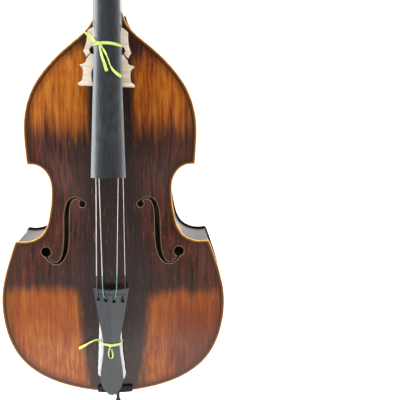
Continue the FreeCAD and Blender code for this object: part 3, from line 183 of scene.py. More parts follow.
def spruce():
    """Top plate: amber panels in the four bouts, a dark centre and waist, worn golden edge. The
    treble side, most of all its lower bout, is painted darker as shade.
    """
    s = Shader("spruce_varnish", **GLOSS)
    x, _, z = s.parts()
    side = s.sum("ABSOLUTE", x)
    broad = s.noise(s.stretched((38, 38, 2.4)), detail=4, roughness=0.62)
    drift = s.noise(s.stretched((9, 9, 5)), detail=2)
    patch = s.noise(s.stretched((24, 24, 11), (5, 3, 0)), detail=4, roughness=0.65)
    streak = s.noise(s.stretched((150, 150, 3.5), (2, 0, 0)), detail=3, roughness=0.7)
    fleck = s.noise(s.stretched((330, 330, 22), (0, 4, 2)), detail=2, roughness=0.6)
    grain = s.noise(s.stretched((620, 40, 2.0), (0, 1, 0)), detail=1.5)
    wander = s.sum("MULTIPLY_ADD", broad, 0.20, -0.10)
    # right carries painted shade: on the treble side it shrinks the amber panels and darkens the
    # amber.
    right = s.span(x, -0.03, 0.03, 0.0, 0.012)
    upper = s.sum("MULTIPLY", s.span(s.sum("ADD", z, wander), 0.845, 0.945),
                  s.span(s.sum("ADD", z, s.sum("MULTIPLY_ADD", right, 3.0, wander)), 1.16, 1.08))
    low_z = s.sum("ADD", z, s.sum("MULTIPLY_ADD", wander, 0.35, right))
    lower = s.span(low_z, 0.443, 0.396)
    taper = s.sum("MULTIPLY_ADD", z, -0.09, 0.0342)
    off_high = s.span(s.sum("ADD", side, s.sum("MULTIPLY", wander, 0.2)), 0.050, 0.080)
    off_low = s.span(s.sum("ADD", s.sum("ADD", side, taper), s.sum("MULTIPLY", wander, 0.30)),
                     0.088, 0.116)
    panel = s.sum("MAXIMUM", s.sum("MULTIPLY", upper, off_high),
                  s.sum("MULTIPLY", lower, off_low))
    panel = s.sum("MULTIPLY", panel, s.span(drift, 0.2, 0.5, 0.75, 1.0))
    edge = s.attribute("edge")
    value = s.sum("MULTIPLY_ADD", streak, 0.45, s.sum("MULTIPLY", broad, 0.25))
    value = s.sum("MULTIPLY_ADD", patch, 0.30, value)
    # Painted shade: the lower bout darkens towards the treble side.
    value = s.sum("MULTIPLY_ADD", s.span(z, 0.42, 0.30), s.span(x, 0.10, 0.26, -0.01, -0.19), value)
    amber = s.ramp(s.sum("SUBTRACT", value, s.sum("MULTIPLY", right, 2.6)),
                   (0.30, (0.12, 0.022, 0.006)), (0.43, (0.29, 0.062, 0.008)),
                   (0.53, (0.46, 0.128, 0.013)), (0.66, (0.62, 0.225, 0.028)))
    dark = s.ramp(s.sum("MULTIPLY_ADD", patch, 0.35, s.sum("MULTIPLY", streak, 0.65)),
                  (0.32, (0.012, 0.008, 0.006)), (0.50, (0.034, 0.013, 0.010)),
                  (0.68, (0.088, 0.024, 0.016)))
    flush = s.span(edge, 0.16, 0.02, 0.0, 0.6)
    dark = s.mix(s.sum("MULTIPLY", flush, s.span(streak, 0.35, 0.65)), dark, (0.15, 0.032, 0.014))
    deeper = s.sum("MULTIPLY", s.span(z, 0.50, 0.44), s.span(z, 0.18, 0.34, 0.0, 0.45))
    amber = s.mix(deeper, amber, (0.26, 0.048, 0.002))
    middle = s.sum("MULTIPLY", s.span(side, 0.11, 0.05), 0.75)
    dark = s.mix(middle, dark, (0.018, 0.012, 0.010))
    colour = s.mix(panel, dark, amber)
    colour = s.mix(s.sum("MULTIPLY", s.span(grain, 0.38, 0.66), 0.26), colour,
                   (0.02, 0.008, 0.004))
    colour = s.mix(s.sum("MULTIPLY", s.span(fleck, 0.62, 0.72), 0.30), colour, (0.42, 0.17, 0.035))
    colour = s.mix(s.span(edge, 0.034, 0.012, 0.0, 0.50), colour, (0.045, 0.014, 0.006))
    rim = s.span(s.sum("MULTIPLY_ADD", broad, 0.003, edge), 0.0145, 0.0115)
    colour = s.mix(s.sum("MULTIPLY", rim, 0.80), colour, (0.090, 0.026, 0.008))
    inlay = s.sum("MULTIPLY", s.span(edge, 0.0088, 0.0091), s.span(edge, 0.0116, 0.0112))
    colour = s.mix(inlay, colour, (0.012, 0.007, 0.005))
    outer = s.span(s.sum("MULTIPLY_ADD", broad, 0.004, edge), 0.0088, 0.0062)
    colour = s.mix(s.sum("MULTIPLY", outer, 0.80), colour, (0.20, 0.060, 0.012))
    worn = s.span(s.sum("MULTIPLY_ADD", streak, 0.0040, edge), 0.0050, 0.0030)
    colour = s.mix(worn, colour, GOLD_WOOD)
    lip = s.span(s.attribute("lip"), 0.0013, 0.0004)
    s.colour(s.mix(s.sum("MULTIPLY", lip, 0.8), colour, (0.42, 0.31, 0.20)))
    s.feed(s.surface.inputs["Coat Weight"], s.span(z, 0.36, 0.20, 0.30, 0.70))
    s.rough(s.span(streak, 0.2, 0.8, 0.24, 0.40))
    s.bump(s.sum("ADD", s.sum("MULTIPLY", grain, 0.5), streak), 0.10, 0.0006)
    return s.material


def flamed(name, bright, dim_tone, black, panels=True, sides=False):
    """Maple with a flame that crosses the grain, shaded to near black."""
    s = Shader(name, **GLOSS)
    x, _, z = s.parts()
    side = s.sum("ABSOLUTE", x)
    wave = s.noise(s.stretched((7, 7, 9)), detail=2)
    if sides:
        along = s.sum("ADD", s.sum("MULTIPLY", x, 0.8), z)
    else:
        along = s.sum("ADD", z, s.sum("MULTIPLY", side, 0.16))
    along = s.sum("ADD", along, s.sum("MULTIPLY_ADD", wave, 0.035, -0.0175))
    bands = s.add("ShaderNodeCombineXYZ")
    s.feed(bands.inputs[2], along)
    s.feed(bands.inputs[0], s.sum("MULTIPLY", x, 0.10))
    flame = s.noise(bands.outputs[0], scale=58, detail=3.5, roughness=0.62)
    fibre = s.noise(s.stretched((260, 260, 9)), detail=2)
    tone = s.ramp(s.sum("MULTIPLY_ADD", fibre, 0.12, s.sum("ADD", flame, -0.06)),
                  (0.36, black), (0.47, dim_tone), (0.60, bright),
                  (0.74, tuple(min(1, 1.35 * c) for c in bright)))
    if panels:
        upper = s.sum("MULTIPLY", s.span(z, 0.865, 0.925), s.span(z, 1.150, 1.060))
        lower = s.sum("MULTIPLY", s.span(z, 0.455, 0.385), s.span(z, 0.10, 0.19, 0.35, 1.0))
        rows = s.sum("MAXIMUM", upper, lower)
        centre = s.span(s.sum("MULTIPLY_ADD", wave, 0.05, side), 0.058, 0.120)
        panel = s.sum("MULTIPLY", rows, centre)
        edge = s.attribute("edge")
        panel = s.sum("MULTIPLY", panel, s.span(edge, 0.006, 0.050, 0.15, 1.0))
        tone = s.mix(panel, black, tone)
        red = s.sum("MULTIPLY", s.span(edge, 0.12, 0.02), s.span(fibre, 0.4, 0.62))
        tone = s.mix(s.sum("MULTIPLY", red, 0.30), tone, (0.075, 0.018, 0.006))
        worn = s.span(s.sum("MULTIPLY_ADD", fibre, 0.0025, edge), 0.0036, 0.0018)
        tone = s.mix(s.sum("MULTIPLY", worn, 0.85), tone, (0.36, 0.13, 0.03))
    s.colour(tone)
    s.rough(s.span(fibre, 0.2, 0.8, 0.22, 0.34))
    s.bump(flame, 0.05, 0.0006)
    return s.material


def dark_varnish_and_painted_shade():
    """Varnish over the rims where the plates overhang the ribs, darkened towards black as painted
    shade for the overhang's underside and the back's edge.
    """
    s = Shader("rim_varnish_painted_shade", **GLOSS)
    streak = s.noise(s.stretched((90, 90, 14)), detail=3)
    s.colour(s.mix(s.span(streak, 0.3, 0.7), (0.012, 0.006, 0.004), (0.045, 0.015, 0.006)))
    s.rough(s.span(streak, 0.2, 0.8, 0.25, 0.38))
    return s.material


def satin_black(name, tone, rough, coat, gleam):
    """Polished ebony, with streaks along its grain."""
    s = Shader(name, Specular_IOR_Level=gleam, Coat_Weight=coat, Coat_Roughness=0.16)
    line = s.noise(s.stretched((240, 240, 5)), detail=3, roughness=0.6)
    blotch = s.noise(s.stretched((14, 14, 6)), detail=2)
    light = tuple(1.9 * c for c in tone)
    shade = s.mix(s.span(line, 0.35, 0.7), tone, light)
    s.colour(s.mix(s.span(blotch, 0.35, 0.7, 0.0, 0.5), shade, tuple(0.6 * c for c in tone)))
    s.rough(s.span(line, 0.2, 0.8, rough - 0.07, rough + 0.10))
    s.bump(line, 0.08, 0.0005)
    return s.material


def bare_maple():
    """The bridge: pale unvarnished maple with short rays."""
    s = Shader("bare_maple", Roughness=0.52)
    fleck = s.noise(s.stretched((420, 60, 70)), detail=2)
    band = s.noise(s.stretched((14, 20, 110)), detail=3, roughness=0.6)
    tone = s.ramp(band, (0.3, (0.66, 0.52, 0.37)), (0.55, (0.84, 0.73, 0.58)),
                  (0.8, (0.90, 0.81, 0.68)))
    s.colour(s.mix(s.span(fleck, 0.58, 0.72, 0.0, 0.45), tone, (0.42, 0.26, 0.14)))
    s.bump(fleck, 0.1, 0.0004)
    return s.material


def plain_wood(name, tone):
    """Unfinished wood inside the body."""
    s = Shader(name, Roughness=0.62)
    line = s.noise(s.stretched((220, 220, 6)), detail=3)
    s.colour(s.mix(s.span(line, 0.3, 0.7), tuple(0.7 * c for c in tone), tone))
    s.bump(line, 0.1, 0.0005)
    return s.material


def metal(name, tone, rough):
    """Handled metal, a quarter darker in its stains."""
    s = Shader(name, Metallic=1.0)
    scuff = s.noise(s.stretched((160, 160, 160)), detail=4, roughness=0.7)
    stain = s.noise(s.stretched((35, 35, 35)), detail=3)
    s.colour(s.mix(s.span(stain, 0.35, 0.65), tone, tuple(0.75 * c for c in tone)))
    s.rough(s.span(scuff, 0.25, 0.75, rough * 0.75, min(1.0, rough * 1.5)))
    s.bump(scuff, 0.05, 0.0003)
    return s.material


def ribbon_cloth():
    """Shiny woven ribbon, with lighter and darker patches painted as the light and shade of its
    creases.
    """
    s = Shader("green_ribbon", Roughness=0.45, Sheen_Weight=0.3)
    weave = s.waves("DIAGONAL", 420)
    fold = s.noise(s.stretched((90, 90, 90)), detail=2)
    # Painted light and shade: fold picks between a lighter and a darker green, as creases would
    # show.
    tone = s.mix(s.span(fold, 0.3, 0.7), (0.54, 0.72, 0.11), (0.80, 0.95, 0.27))
    s.colour(s.mix(s.sum("MULTIPLY", weave, 0.18), tone, (0.40, 0.52, 0.06)))
    s.bump(weave, 0.25, 0.0003)
    return s.material


def white_foam():
    """Closed-cell packing foam."""
    s = Shader("white_foam", Roughness=0.85)
    cell = s.add("ShaderNodeTexVoronoi")
    s.feed(cell.inputs["Vector"], s.place)
    cell.inputs["Scale"].default_value = 420
    cloud = s.noise(s.stretched((40, 40, 40)), detail=2)
    s.colour(s.mix(s.span(cloud, 0.3, 0.7), (0.74, 0.76, 0.77), (0.84, 0.85, 0.86)))
    s.bump(cell.outputs["Distance"], 0.25, 0.0006)
    return s.material


def wound_steel(name, thread):
    """Flat-wound string whose tail end is wrapped in coloured silk."""
    s = Shader(name)
    turns = s.waves("Z", 160)
    stain = s.noise(s.stretched((60, 60, 12)), detail=2)
    tone = s.mix(s.span(stain, 0.3, 0.7), (0.86, 0.82, 0.78), (0.70, 0.66, 0.62))
    tone = s.mix(s.sum("MULTIPLY", turns, 0.12), tone, (0.45, 0.43, 0.41))
    bare = s.span(s.parts()[2], SILK_TOP - 0.0015, SILK_TOP + 0.0010)
    s.feed(s.surface.inputs["Metallic"], bare)
    s.colour(s.mix(bare, thread, tone))
    s.rough(s.span(bare, 0.0, 1.0, 0.55, 0.40))
    return s.material


def rubber():
    """The endpin's foot."""
    s = Shader("rubber", Roughness=0.7)
    speck = s.noise(s.stretched((500, 500, 500)), detail=2)
    s.colour(s.mix(s.span(speck, 0.3, 0.7), (0.018, 0.018, 0.018), (0.035, 0.034, 0.033)))
    s.bump(speck, 0.15, 0.0004)
    return s.material


# ---------------------------------------------------------------- outline of the plates
# BASE is the body's bottom over the floor. The runs give x as a share of the bout's half width and
# height as a share of the body's length. RIM and GLUE are how far the plate's outer and inner faces
# are from the middle of the ribs.
BASE, LENGTH = 0.100, 1.110
HALF_UPPER, HALF_WAIST, HALF_LOWER = 0.2431, 0.1716, 0.3246
RIM, GLUE = 0.1025, 0.0980
UPPER_BOUT = [(0.160, 0.9946), (0.192, 0.973), (0.433, 0.919), (0.698, 0.865), (0.878, 0.811),
              (0.971, 0.757), (1.0, 0.7027), (0.989, 0.6486), (0.980, 0.6216)]
WAIST = [(1.385, 0.6150), (1.195, 0.6111), (1.045, 0.5865), (1.0, 0.5405), (1.045, 0.4829),
         (1.196, 0.4302), (1.399, 0.4157), (1.605, 0.4166)]
LOWER_BOUT = [(0.863, 0.4122), (0.925, 0.3604), (0.978, 0.3063), (1.0, 0.2523), (0.987, 0.1982),
              (0.938, 0.1441), (0.832, 0.0901), (0.694, 0.0541), (0.4224, 0.0180),
              (0.191, 0.0036), (0.0, 0.0)]


def smooth_run(points, spacing=0.004):
    """Samples of the cubic curve through the points, about spacing apart."""
    places = np.array(points, float)
    steps = np.linalg.norm(np.diff(places, axis=0), axis=1)
    slopes = np.diff(places, axis=0) / steps[:, None]
    count = len(places)
    system = np.zeros((count, count))
    wanted = np.zeros((count, places.shape[1]))
    system[0, 0] = system[-1, -1] = 1
    wanted[0] = slopes[0] - steps[0] * (slopes[1] - slopes[0]) / (steps[0] + steps[1])
    wanted[-1] = slopes[-1] + steps[-1] * (slopes[-1] - slopes[-2]) / (steps[-1] + steps[-2])
    for i in range(1, count - 1):
        system[i, i - 1:i + 2] = steps[i], 2 * (steps[i - 1] + steps[i]), steps[i - 1]
        wanted[i] = 3 * (steps[i] * slopes[i - 1] + steps[i - 1] * slopes[i])
    tangents = np.linalg.solve(system, wanted)
    line = []
    for i in range(count - 1):
        cuts = max(1, round(steps[i] / spacing))
        t = np.linspace(0, 1, cuts, endpoint=False)[:, None]
        line.append((2 * t ** 3 - 3 * t ** 2 + 1) * places[i] + (t - 2 * t ** 2 + t ** 3)
                    * steps[i] * tangents[i] + (3 * t ** 2 - 2 * t ** 3) * places[i + 1]
                    + (t ** 3 - t ** 2) * steps[i] * tangents[i + 1])
    line.append(places[-1:])
    return np.vstack(line)


def half_outline():
    """The right half of the outline, from the neck down, with height over the body's bottom."""
    runs = []
    for run, half in ((UPPER_BOUT, HALF_UPPER), (WAIST, HALF_WAIST)):
        runs.append(smooth_run([(x * half, z * LENGTH) for x, z in run]))
    lower = [(x * HALF_LOWER, z * LENGTH) for x, z in LOWER_BOUT]
    whole = smooth_run(lower + [(-x, z) for x, z in lower[-2::-1]])
    runs.append(whole[whole[:, 0] >= 0])
    return np.vstack(runs)


def mirrored(run):
    """The same run on the bass side, in the opposite order."""
    return run[::-1] * (-1, 1)


def inset_loop(loop, distance):
    """A clockwise loop moved inwards, with mitred corners."""
    before = loop - np.roll(loop, 1, axis=0)
    after = np.roll(loop, -1, axis=0) - loop
    before /= np.linalg.norm(before, axis=1)[:, None]
    after /= np.linalg.norm(after, axis=1)[:, None]
    in_before = np.stack([before[:, 1], -before[:, 0]], axis=1)
    in_after = np.stack([after[:, 1], -after[:, 0]], axis=1)
    middle = in_before + in_after
    middle /= np.maximum(np.linalg.norm(middle, axis=1), 1e-9)[:, None]
    reach = distance / np.maximum(0.35, (middle * in_after).sum(axis=1))
    return loop + middle * reach[:, None]


def inside_loop(points, loop):
    """Which of the points lie inside the loop, by counting the edges to one side."""
    ax, az = loop.T
    bx, bz = np.roll(loop, -1, axis=0).T
    px, pz = points[:, 0:1], points[:, 1:2]
    crossed = (az > pz) != (bz > pz)
    run = np.where(bz == az, 1e-12, bz - az)
    return ((crossed & (px < (bx - ax) * (pz - az) / run + ax)).sum(axis=1) % 2) == 1


def distance_to(points, loop):
    """Shortest distance from each point to the loop's line."""
    start, end = loop, np.roll(loop, -1, axis=0)
    run = end - start
    size = np.maximum((run ** 2).sum(axis=1), 1e-15)
    best = np.full(len(points), 9.0)
    for first in range(0, len(points), 2000):
        some = points[first:first + 2000]
        away = some[:, None, :] - start[None, :, :]
        share = np.clip((away * run[None]).sum(axis=2) / size[None], 0, 1)
        gap = away - share[..., None] * run[None]
        best[first:first + 2000] = np.sqrt((gap ** 2).sum(axis=2).min(axis=1))
    return best


# ---------------------------------------------------------------- arching
def ease(low, high, share):
    """A smooth step from low to high."""
    share = np.clip(share, 0, 1)
    return low + (high - low) * share * share * (3 - 2 * share)


TOP_RISE, BACK_RISE = 0.032, 0.034
HOLLOW = 0.88


def arch(x, height, rise):
    """Height of the arching over the rim: it flows past the corners, which stay flat."""
    lower, waist, upper = HALF_LOWER - 0.007, HALF_WAIST - 0.006, HALF_UPPER - 0.005
    low = lower * np.sqrt(np.clip(1 - ((0.280 - height) / 0.272) ** 2, 0, 1))
    high = upper * np.clip(1 - ((height - 0.775) / 0.328) ** 2, 0, 1) ** 0.85
    half = np.select([height <= 0.280, height <= 0.585, height <= 0.775],
                     [low, ease(lower, waist, (height - 0.280) / 0.305),
                      ease(waist, upper, (height - 0.585) / 0.190)], high)
    along = np.abs(2 * height / LENGTH - 1)
    across = np.clip((x / np.maximum(half, 1e-6)) ** 2, 0, 1)
    return (rise * (1 - across) ** 2 * (1 + 0.6 * across)
            * np.clip(1 - along ** 3.2, 0, 1) ** 1.2)


def back_line(height):
    """Y of the back's glue face: straight, then falling towards the neck."""
    fold, radius, fall = 0.790, 0.800, (GLUE - 0.052) / (LENGTH - 0.790)
    reach = radius * math.tan(math.atan(fall) / 2)
    bend = reach * (1 + math.cos(math.atan(fall)))
    turn = np.clip((height - fold + reach) / bend, 0, 1)
    drop = radius * (1 - np.cos(np.arcsin(math.sin(math.atan(fall)) * turn)))
    return GLUE - drop - np.maximum(0, height - fold + reach - bend) * fall


ROUNDING = 0.0021


def rounded_rim(distance):
    """How far the outer face falls back close to the plate's edge."""
    short = np.clip(1 - distance / ROUNDING, 0, 1)
    return ROUNDING * (1 - np.sqrt(1 - short ** 2))


def hollow(x, height, distance, rise):
    """How deep the inside is carved: a share of the arching, and none where the ribs are glued."""
    return HOLLOW * arch(x, height, rise) * ease(0, 1, (distance - 0.012) / 0.02)


def top_face(x, height, distance):
    return -RIM - arch(x, height, TOP_RISE) + rounded_rim(distance)


def top_under(x, height, distance):
    return -GLUE - hollow(x, height, distance, TOP_RISE)


def back_face(x, height, distance):
    return back_line(height) + RIM - GLUE + arch(x, height, BACK_RISE) - rounded_rim(distance)


def back_under(x, height, distance):
    return back_line(height) + hollow(x, height, distance, BACK_RISE)


# ---------------------------------------------------------------- f-holes
# In millimetres: x, height and width along the slot; x, height and radius of the eyes; the two
# nicks' x, half size and height.
F_LINE = [(80, 577, 4), (91, 587, 5), (103, 590, 6), (117, 581, 10), (126, 560, 13.5),
          (129.3, 528, 15), (129.6, 498, 15), (130.6, 468, 15), (134.5, 438, 14),
          (144, 412, 10), (161, 398.5, 6), (180, 405, 5), (190, 420, 8)]
F_EYES = ((82, 573, 10), (191, 430.7, 15))
F_NICKS = (122.3, 136.9, 3.0, 488)


def f_hole_loops():
    """Closed loops in metres that together cover the right f-hole."""
    centre = np.array([stop[:2] for stop in F_LINE], float)
    run = np.gradient(centre, axis=0)
    run /= np.linalg.norm(run, axis=1)[:, None]
    side = np.stack([run[:, 1], -run[:, 0]], axis=1)
    half = np.array([[stop[2] / 2] for stop in F_LINE])
    loops = [np.vstack([smooth_run(centre + side * half, 4),
                        smooth_run(centre - side * half, 4)[::-1]])]
    for x, z, radius in F_EYES:
        angles = np.linspace(0, 2 * math.pi, 26, endpoint=False)
        loops.append(np.stack([x + radius * np.cos(angles), z + radius * np.sin(angles)], axis=1))
    left, right, nick, tall = F_NICKS
    for x, lean in ((left, -1), (right, 1)):
        loops.append(np.array([(x + lean * nick, tall), (x - lean, tall + nick),
                               (x - lean, tall - nick)]))
    return [loop / 1000 for loop in loops]


# ---------------------------------------------------------------- plates
# Spacing of a plate's inner points, rows of points in from its edge and from a hole's lip, and the
# bare distance kept from both. The inside is varnished only on the overhang past the ribs, with
# painted shade.
GRID = 0.0075
EDGE_ROWS = (0.0003, 0.0008, 0.0014, 0.0021)
LIP_ROW = 0.0013
EDGE_GAP, HOLE_GAP = 0.0045, 0.0040
OVERHANG = 0.0062


def plate_mesh(name, loop, rim_loop, holes, face, under, materials):
    """A carved plate: loop is its cut outline, rim_loop the line that its edge follows."""
    points, edges = [], []

    def add_loop(line):
        first = len(points)
        points.extend(map(tuple, line))
        edges.extend((first + i, first + (i + 1) % len(line)) for i in range(len(line)))

    add_loop(loop)
    for distance in EDGE_ROWS:
        add_loop(inset_loop(loop, distance))
    for hole in holes:
        add_loop(hole)
        across = np.roll(hole, -1, axis=0)
        anticlockwise = (hole[:, 0] * across[:, 1] - across[:, 0] * hole[:, 1]).sum() > 0
        add_loop(inset_loop(hole, LIP_ROW if anticlockwise else -LIP_ROW))
    columns = np.arange(-HALF_LOWER, HALF_LOWER, GRID)
    rows = np.arange(0.0, LENGTH + 0.03, GRID)
    cells = np.array([(x + GRID / 2 * (i % 2), z) for i, z in enumerate(rows) for x in columns])
    cells = cells[inside_loop(cells, loop)]
    cells = cells[distance_to(cells, loop) > EDGE_GAP]
    for hole in holes:
        cells = cells[(distance_to(cells, hole) > HOLE_GAP) & ~inside_loop(cells, hole)]
    points.extend(map(tuple, cells))
    flat, _, faces, _, _, _ = delaunay_2d_cdt([Vector(p) for p in points], edges, [], 0, 1e-6)
    flat = np.array([tuple(p) for p in flat])
    faces = np.array([f for f in faces if len(f) == 3])
    middles = flat[faces].mean(axis=1)
    keep = inside_loop(middles, loop)
    for hole in holes:
        keep &= ~inside_loop(middles, hole)
    faces = faces[keep]
    used, faces = np.unique(faces, return_inverse=True)
    faces = faces.reshape(-1, 3)
    flat = flat[used]
    a, b, c = (flat[faces[:, i]] for i in range(3))
    turned = (b[:, 0] - a[:, 0]) * (c[:, 1] - a[:, 1]) - (b[:, 1] - a[:, 1]) * (c[:, 0] - a[:, 0])
    faces[turned < 0] = faces[turned < 0][:, ::-1]
    margin = distance_to(flat, rim_loop)
    x, height = flat.T
    outer = face(x, height, margin)
    inner = under(x, height, margin)
    front = outer.mean() < 0
    count = len(flat)
    lip = np.min([distance_to(flat, hole) for hole in holes], axis=0) if holes else np.ones(count)
    places = np.vstack([np.stack([x, outer, BASE + height], axis=1),
                        np.stack([x, inner, BASE + height], axis=1)])
    outer_faces = faces if front else faces[:, ::-1]
    inner_faces = (faces[:, ::-1] if front else faces) + count
    pairs = np.vstack([outer_faces[:, [0, 1]], outer_faces[:, [1, 2]], outer_faces[:, [2, 0]]])
    known = set(map(tuple, pairs))
    rims = [(i, j) for i, j in pairs if (j, i) not in known]
    walls = [(j, i, i + count, j + count) for i, j in rims]
    mesh = bpy.data.meshes.new(name)
    mesh.from_pydata(places.tolist(), [], outer_faces.tolist() + inner_faces.tolist() + walls)
    for layer, values in (("edge", margin), ("lip", lip)):
        mesh.attributes.new(layer, "FLOAT", "POINT").data.foreach_set(
            "value", np.concatenate([values, values]).astype(np.float32))
    mesh.polygons.foreach_set("use_smooth", [True] * len(mesh.polygons))
    mesh.update()
    mesh.set_sharp_from_angle(angle=math.radians(50))
    piece = add_object(name, mesh)
    for material in materials:
        mesh.materials.append(material)
    hidden = margin[faces].min(axis=1) > OVERHANG
    # The back's outer edge takes the dark varnish with painted shade; the top's takes the spruce
    # varnish.
    rim_wall = 0 if front else 2
    wall_kind = [rim_wall if lip[i] > 0.001 else 0 for _, i, _, _ in walls]
    mesh.polygons.foreach_set("material_index", [0] * len(faces)
                              + [1 if inner else 2 for inner in hidden] + wall_kind)
    return piece


right_side = half_outline()
rim_loop = np.vstack([right_side, mirrored(right_side)[1:]])


# Half width and height of the neck's mortise and of the saddle's notch in the top, and the back
# button's radius and height.
MORTISE = (0.0312, 1.0862)
NOTCH = (0.0512, 0.0202)
BUTTON, BUTTON_Z = 0.026, 1.112


def notched_outline():
    """The top's outline with the neck's mortise and the saddle's notch cut from it."""
    low = (right_side[:, 0] <= NOTCH[0] - 0.0001) & (right_side[:, 1] <= 0.05)
    notch_edge = right_side[low][0, 1]
    right = np.vstack([[MORTISE, (MORTISE[0], right_side[0, 1])], right_side[~low],
                       [(NOTCH[0], notch_edge), NOTCH]])
    return np.vstack([right, mirrored(right)])


def buttoned_outline():
    """The back's outline with the round button under the neck's heel."""
    angles = np.linspace(0, math.pi, 24)
    button = np.stack([-BUTTON * np.cos(angles), BUTTON_Z + BUTTON * np.sin(angles)], axis=1)
    button = np.vstack([[(-BUTTON, right_side[0, 1])], button, [(BUTTON, right_side[0, 1])]])
    return np.vstack([rim_loop, button])


right_holes = f_hole_loops()
f_loops = right_holes + [mirrored(hole) for hole in right_holes]
bare_spruce = plain_wood("bare_spruce", (0.60, 0.42, 0.24))
overhang_varnish_and_shade = dark_varnish_and_painted_shade()
top = plate_mesh("carved_top", notched_outline(), rim_loop, f_loops, top_face, top_under,
                 [spruce(), bare_spruce, overhang_varnish_and_shade])
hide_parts("top_plate", "top_purfling")
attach(top, "bass")
back_wood = flamed("flamed_back", (0.40, 0.150, 0.022), (0.13, 0.036, 0.010),
                   (0.0075, 0.0045, 0.0040))
button_loop = buttoned_outline()
back = plate_mesh("carved_back", button_loop, button_loop, [], back_face, back_under,
                  [back_wood, bare_spruce, overhang_varnish_and_shade])
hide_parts("back_plate", "back_purfling")
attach(back, "bass")


# ---------------------------------------------------------------- places on the object
BOARD_SLOPE = math.radians(9.03)
NUT_Z, BOARD_LENGTH = 1.646, 0.885
# The fingerboard's half width and crown radius at the nut, and how much both grow by its lower end.
NUT_HALF, NUT_CROWN, BOARD_GROWTH = 0.020, 0.065, 0.027


def board_plane(z):
    """Y of the plane where the fingerboard is glued to the neck."""
    return -0.0642 - (NUT_Z - z) * math.tan(BOARD_SLOPE)


def board_top(x, z):
    """Height of the fingerboard's crowned top over that plane."""
    share = (NUT_Z - z) / BOARD_LENGTH
    half, crown = NUT_HALF + BOARD_GROWTH * share, NUT_CROWN + BOARD_GROWTH * share
    across = min(abs(x), half)
    return 0.009 + math.sqrt(crown ** 2 - across ** 2) - math.sqrt(crown ** 2 - half ** 2)


def on_board(x, height, clear):
    """A point clear of the fingerboard's top, at a height over the body's bottom."""
    z = BASE + height
    return Vector((x, board_plane(z) - board_top(x, z) - clear, z))


# The tailpiece's own axes: x across it, y into it and z up along it.
TAIL = (Matrix.Translation((-0.0075, -0.1275, 0.106)) @ Matrix.Rotation(math.radians(4.3), 4, "X")
        @ Matrix.Rotation(math.radians(0.9), 4, "Y"))


def on_tail(x, rise, height):
    """A point in front of the tailpiece's two facets, in the tailpiece's own axes."""
    return TAIL @ Vector((x, -0.015 + 0.007 * abs(x) / 0.051 - rise, height))


# ---------------------------------------------------------------- smooth curves
def add_spline(curve, route, closed=False):
    """A smooth spline along the route; an open one starts and ends at the route's ends."""
    spline = curve.splines.new("NURBS")
    spline.points.add(len(route) - 1)
    for point, place in zip(spline.points, route):
        point.co = (*place, 1)
    spline.order_u = 3
    if closed:
        spline.use_cyclic_u = True
    else:
        spline.use_endpoint_u = True
    return spline


def as_mesh(curve):
    """The curve's mesh. The curve itself is removed."""
    holder = bpy.data.objects.new(curve.name, curve)
    mesh = bpy.data.meshes.new_from_object(holder)
    bpy.data.objects.remove(holder)
    bpy.data.curves.remove(curve)
    return mesh


def smooth_line(route, closed=False):
    """Points along the smooth curve of a route."""
    curve = bpy.data.curves.new("route", "CURVE")
    curve.dimensions = "3D"
    curve.resolution_u = 10
    add_spline(curve, route, closed)
    mesh = as_mesh(curve)
    line = [v.co.copy() for v in mesh.vertices]
    bpy.data.meshes.remove(mesh)
    return line


# ---------------------------------------------------------------- ribbons
THICK = 0.0005
ACROSS = np.linspace(-1, 1, 9)
BRIDGE_WIDTH, TAIL_WIDTH = 0.0080, 0.0074
LOWER_TURN, UPPER_TURN, TURN_GAP = 0.0021, 0.0030, 0.0008


def ribbon_mesh(line, facing, width, twist, closed=False):
    """Vertices and faces of a cupped strip that follows a line. facing gives the way out of its
    front at a place on the line; width and twist go by the share of its length."""
    count = len(line)
    places, faces = [], []
    for i, centre in enumerate(line):
        share = i / (count - (0 if closed else 1))
        before = line[i - 1] if closed or i else line[0]
        after = line[(i + 1) % count] if closed or i < count - 1 else line[-1]
        along = (after - before).normalized()
        out = facing(centre)
        out = (out - along * out.dot(along)).normalized()
        out = Matrix.Rotation(twist(share), 3, along) @ out
        side = along.cross(out)
        half = width(share) / 2
        for skin in (0.5, -0.5):
            for across in ACROSS:
                cup = half * (0.10 * (across ** 2 - 0.35) + 0.05 * math.sin(5 * across + 9 * share))
                places.append(centre + side * half * across + out * (skin * THICK - cup))
    row = 2 * len(ACROSS)
    ring = list(range(len(ACROSS))) + list(range(row - 1, len(ACROSS) - 1, -1))
    for i in range(count if closed else count - 1):
        here, there = i * row, ((i + 1) % count) * row
        for a, b in zip(ring, ring[1:] + ring[:1]):
            faces.append((here + a, here + b, there + b, there + a))
    if not closed:
        faces.append(tuple(reversed(ring)))
        faces.append(tuple((count - 1) * row + i for i in ring))
    return places, faces


def joined(name, pieces, material, levels=1):
    """One object out of several vertex and face lists, its surface subdivided levels times."""
    places, faces = [], []
    for some_places, some_faces in pieces:
        first = len(places)
        places += some_places
        faces += [tuple(first + i for i in face) for face in some_faces]
    mesh = bpy.data.meshes.new(name)
    mesh.from_pydata(places, [], faces)
    build = bmesh.new()
    build.from_mesh(mesh)
    bmesh.ops.recalc_face_normals(build, faces=build.faces)
    build.to_mesh(mesh)
    build.free()
    mesh.polygons.foreach_set("use_smooth", [True] * len(mesh.polygons))
    mesh.materials.append(material)
    piece = add_object(name, mesh)
    if levels:
        smooth = piece.modifiers.new("smooth", "SUBSURF")
        smooth.levels = smooth.render_levels = levels
    return piece


def varied(*stops):
    """A smooth function through (share, value) stops."""
    def value(share):
        for (low, a), (high, b) in zip(stops, stops[1:]):
            if share <= high:
                return float(ease(a, b, (share - low) / (high - low)))
        return stops[-1][1]
    return value


